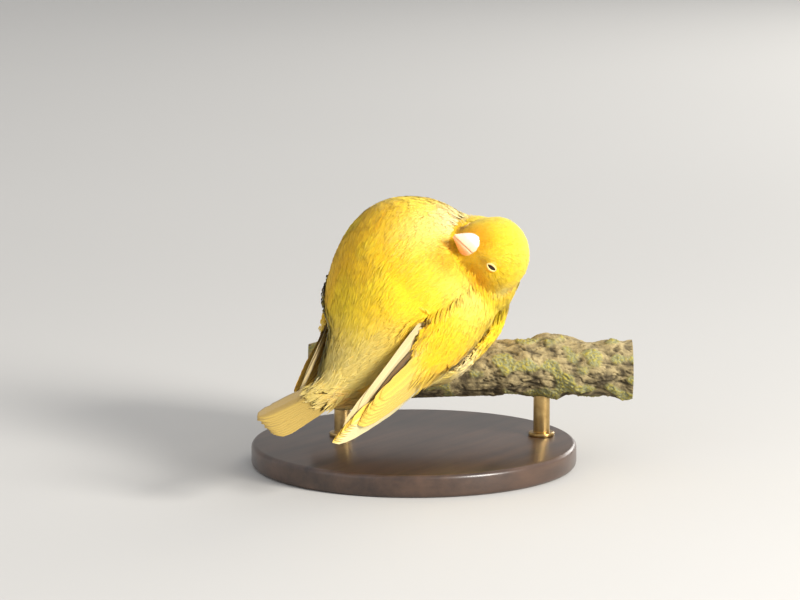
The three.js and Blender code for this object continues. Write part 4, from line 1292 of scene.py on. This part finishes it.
def make_stand():
    """The round base, and two rods with collars that hold the branch."""
    base = make_mesh("base", *lathe(BASE_RADIUS, 0, BASE_HEIGHT, 1.2), STAND)
    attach(base, "root")
    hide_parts("stand_base")
    for number, along in enumerate(ROD_PLACES, 1):
        x, y, z = place(PERCH, np.array((along, 0.0, 0.0)))
        parts = [lathe(ROD_RADIUS, BASE_HEIGHT - 0.5, z - PERCH_RADIUS + 1.0, 0.1, 48, (x, y)),
                 lathe(ROD_RADIUS + 1.3, BASE_HEIGHT - 0.1, BASE_HEIGHT + 1.1, 0.4, 48, (x, y))]
        rod = make_mesh(f"rod_{number}", *join(parts), RODS)
        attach(rod, "root")
        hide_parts(f"stand_rod_{number}")


# Room

def link_object(name, data, location, back):
    """A camera or light at a place, which looks the other way from back."""
    item = bpy.data.objects.new(name, data)
    item.location = location
    item.rotation_euler = back.to_track_quat("Z", "Y").to_euler()
    bpy.context.scene.collection.objects.link(item)
    return item


def make_camera():
    """The camera, and the ways to its right, up and back from what it looks at."""
    a, e = VIEW_AZIMUTH, VIEW_ELEVATION
    back = Vector((math.sin(a) * math.cos(e), -math.cos(a) * math.cos(e), math.sin(e)))
    right = Vector((math.cos(a), math.sin(a), 0))
    up = back.cross(right)
    target = Vector(BODY_CENTRE * MM) - right * AIM_OFFSET[0] - up * AIM_OFFSET[1]
    data = bpy.data.cameras.new("camera")
    data.sensor_width = 36
    data.lens = data.sensor_width * VIEW_DISTANCE / PICTURE_SPAN
    data.clip_end = 20
    bpy.context.scene.camera = link_object("camera", data, target + back * VIEW_DISTANCE, back)
    return right, up, back


def make_room():
    """Camera, lights, soft light all round, and a plain pale floor that curves up behind the bird."""
    scene = bpy.context.scene
    scene.view_settings.view_transform = "Standard"
    right, up, back = make_camera()
    for name, ((to_right, upward, backward), distance, size, power, colour) in LIGHTS.items():
        direction = right * to_right + up * upward + back * backward
        data = bpy.data.lights.new(name, "AREA")
        data.size = size
        data.energy = power
        data.color = colour
        link_object(name, data, Vector(BODY_CENTRE * MM) + direction.normalized() * distance, direction)
    scene.world = bpy.data.worlds.new("room")
    scene.world.use_nodes = True
    background = scene.world.node_tree.nodes["Background"]
    background.inputs[0].default_value = ROOM_COLOUR
    background.inputs[1].default_value = ROOM_LIGHT
    nodes = Nodes("floor", 0.7)
    pale = nodes.finish(nodes.noise(8, 3), 0.3, (0.5, 0.49, 0.47), 0.7, (0.53, 0.52, 0.5))
    away = Vector((-back.x, -back.y, 0)).normalized()
    corners = [(away * distance + right * side + Vector((0, 0, height))) / MM
               for distance, height in FLOOR_SWEEP for side in (-FLOOR_SIDE, FLOOR_SIDE)]
    faces = [(2 * i, 2 * i + 1, 2 * i + 3, 2 * i + 2) for i in range(len(FLOOR_SWEEP) - 1)]
    floor = make_mesh("floor", np.array([tuple(c) for c in corners]), faces, pale)


make_room()
make_coat(make_skin())
make_wings()
make_tail()
bill_half("upper", 1, BILL_TIP, (CULMEN_HEIGHT, BILL_DROOP + 0.5), 1.4)
bill_half("lower", -1, BILL_TIP - 0.5, (GONYS_HEIGHT, BILL_DROOP - 0.5), 0.9)
for bird_side in (1, -1):
    make_eye(bird_side)
    make_leg(bird_side)
make_perch()
make_stand()

bpy.context.view_layer.update()
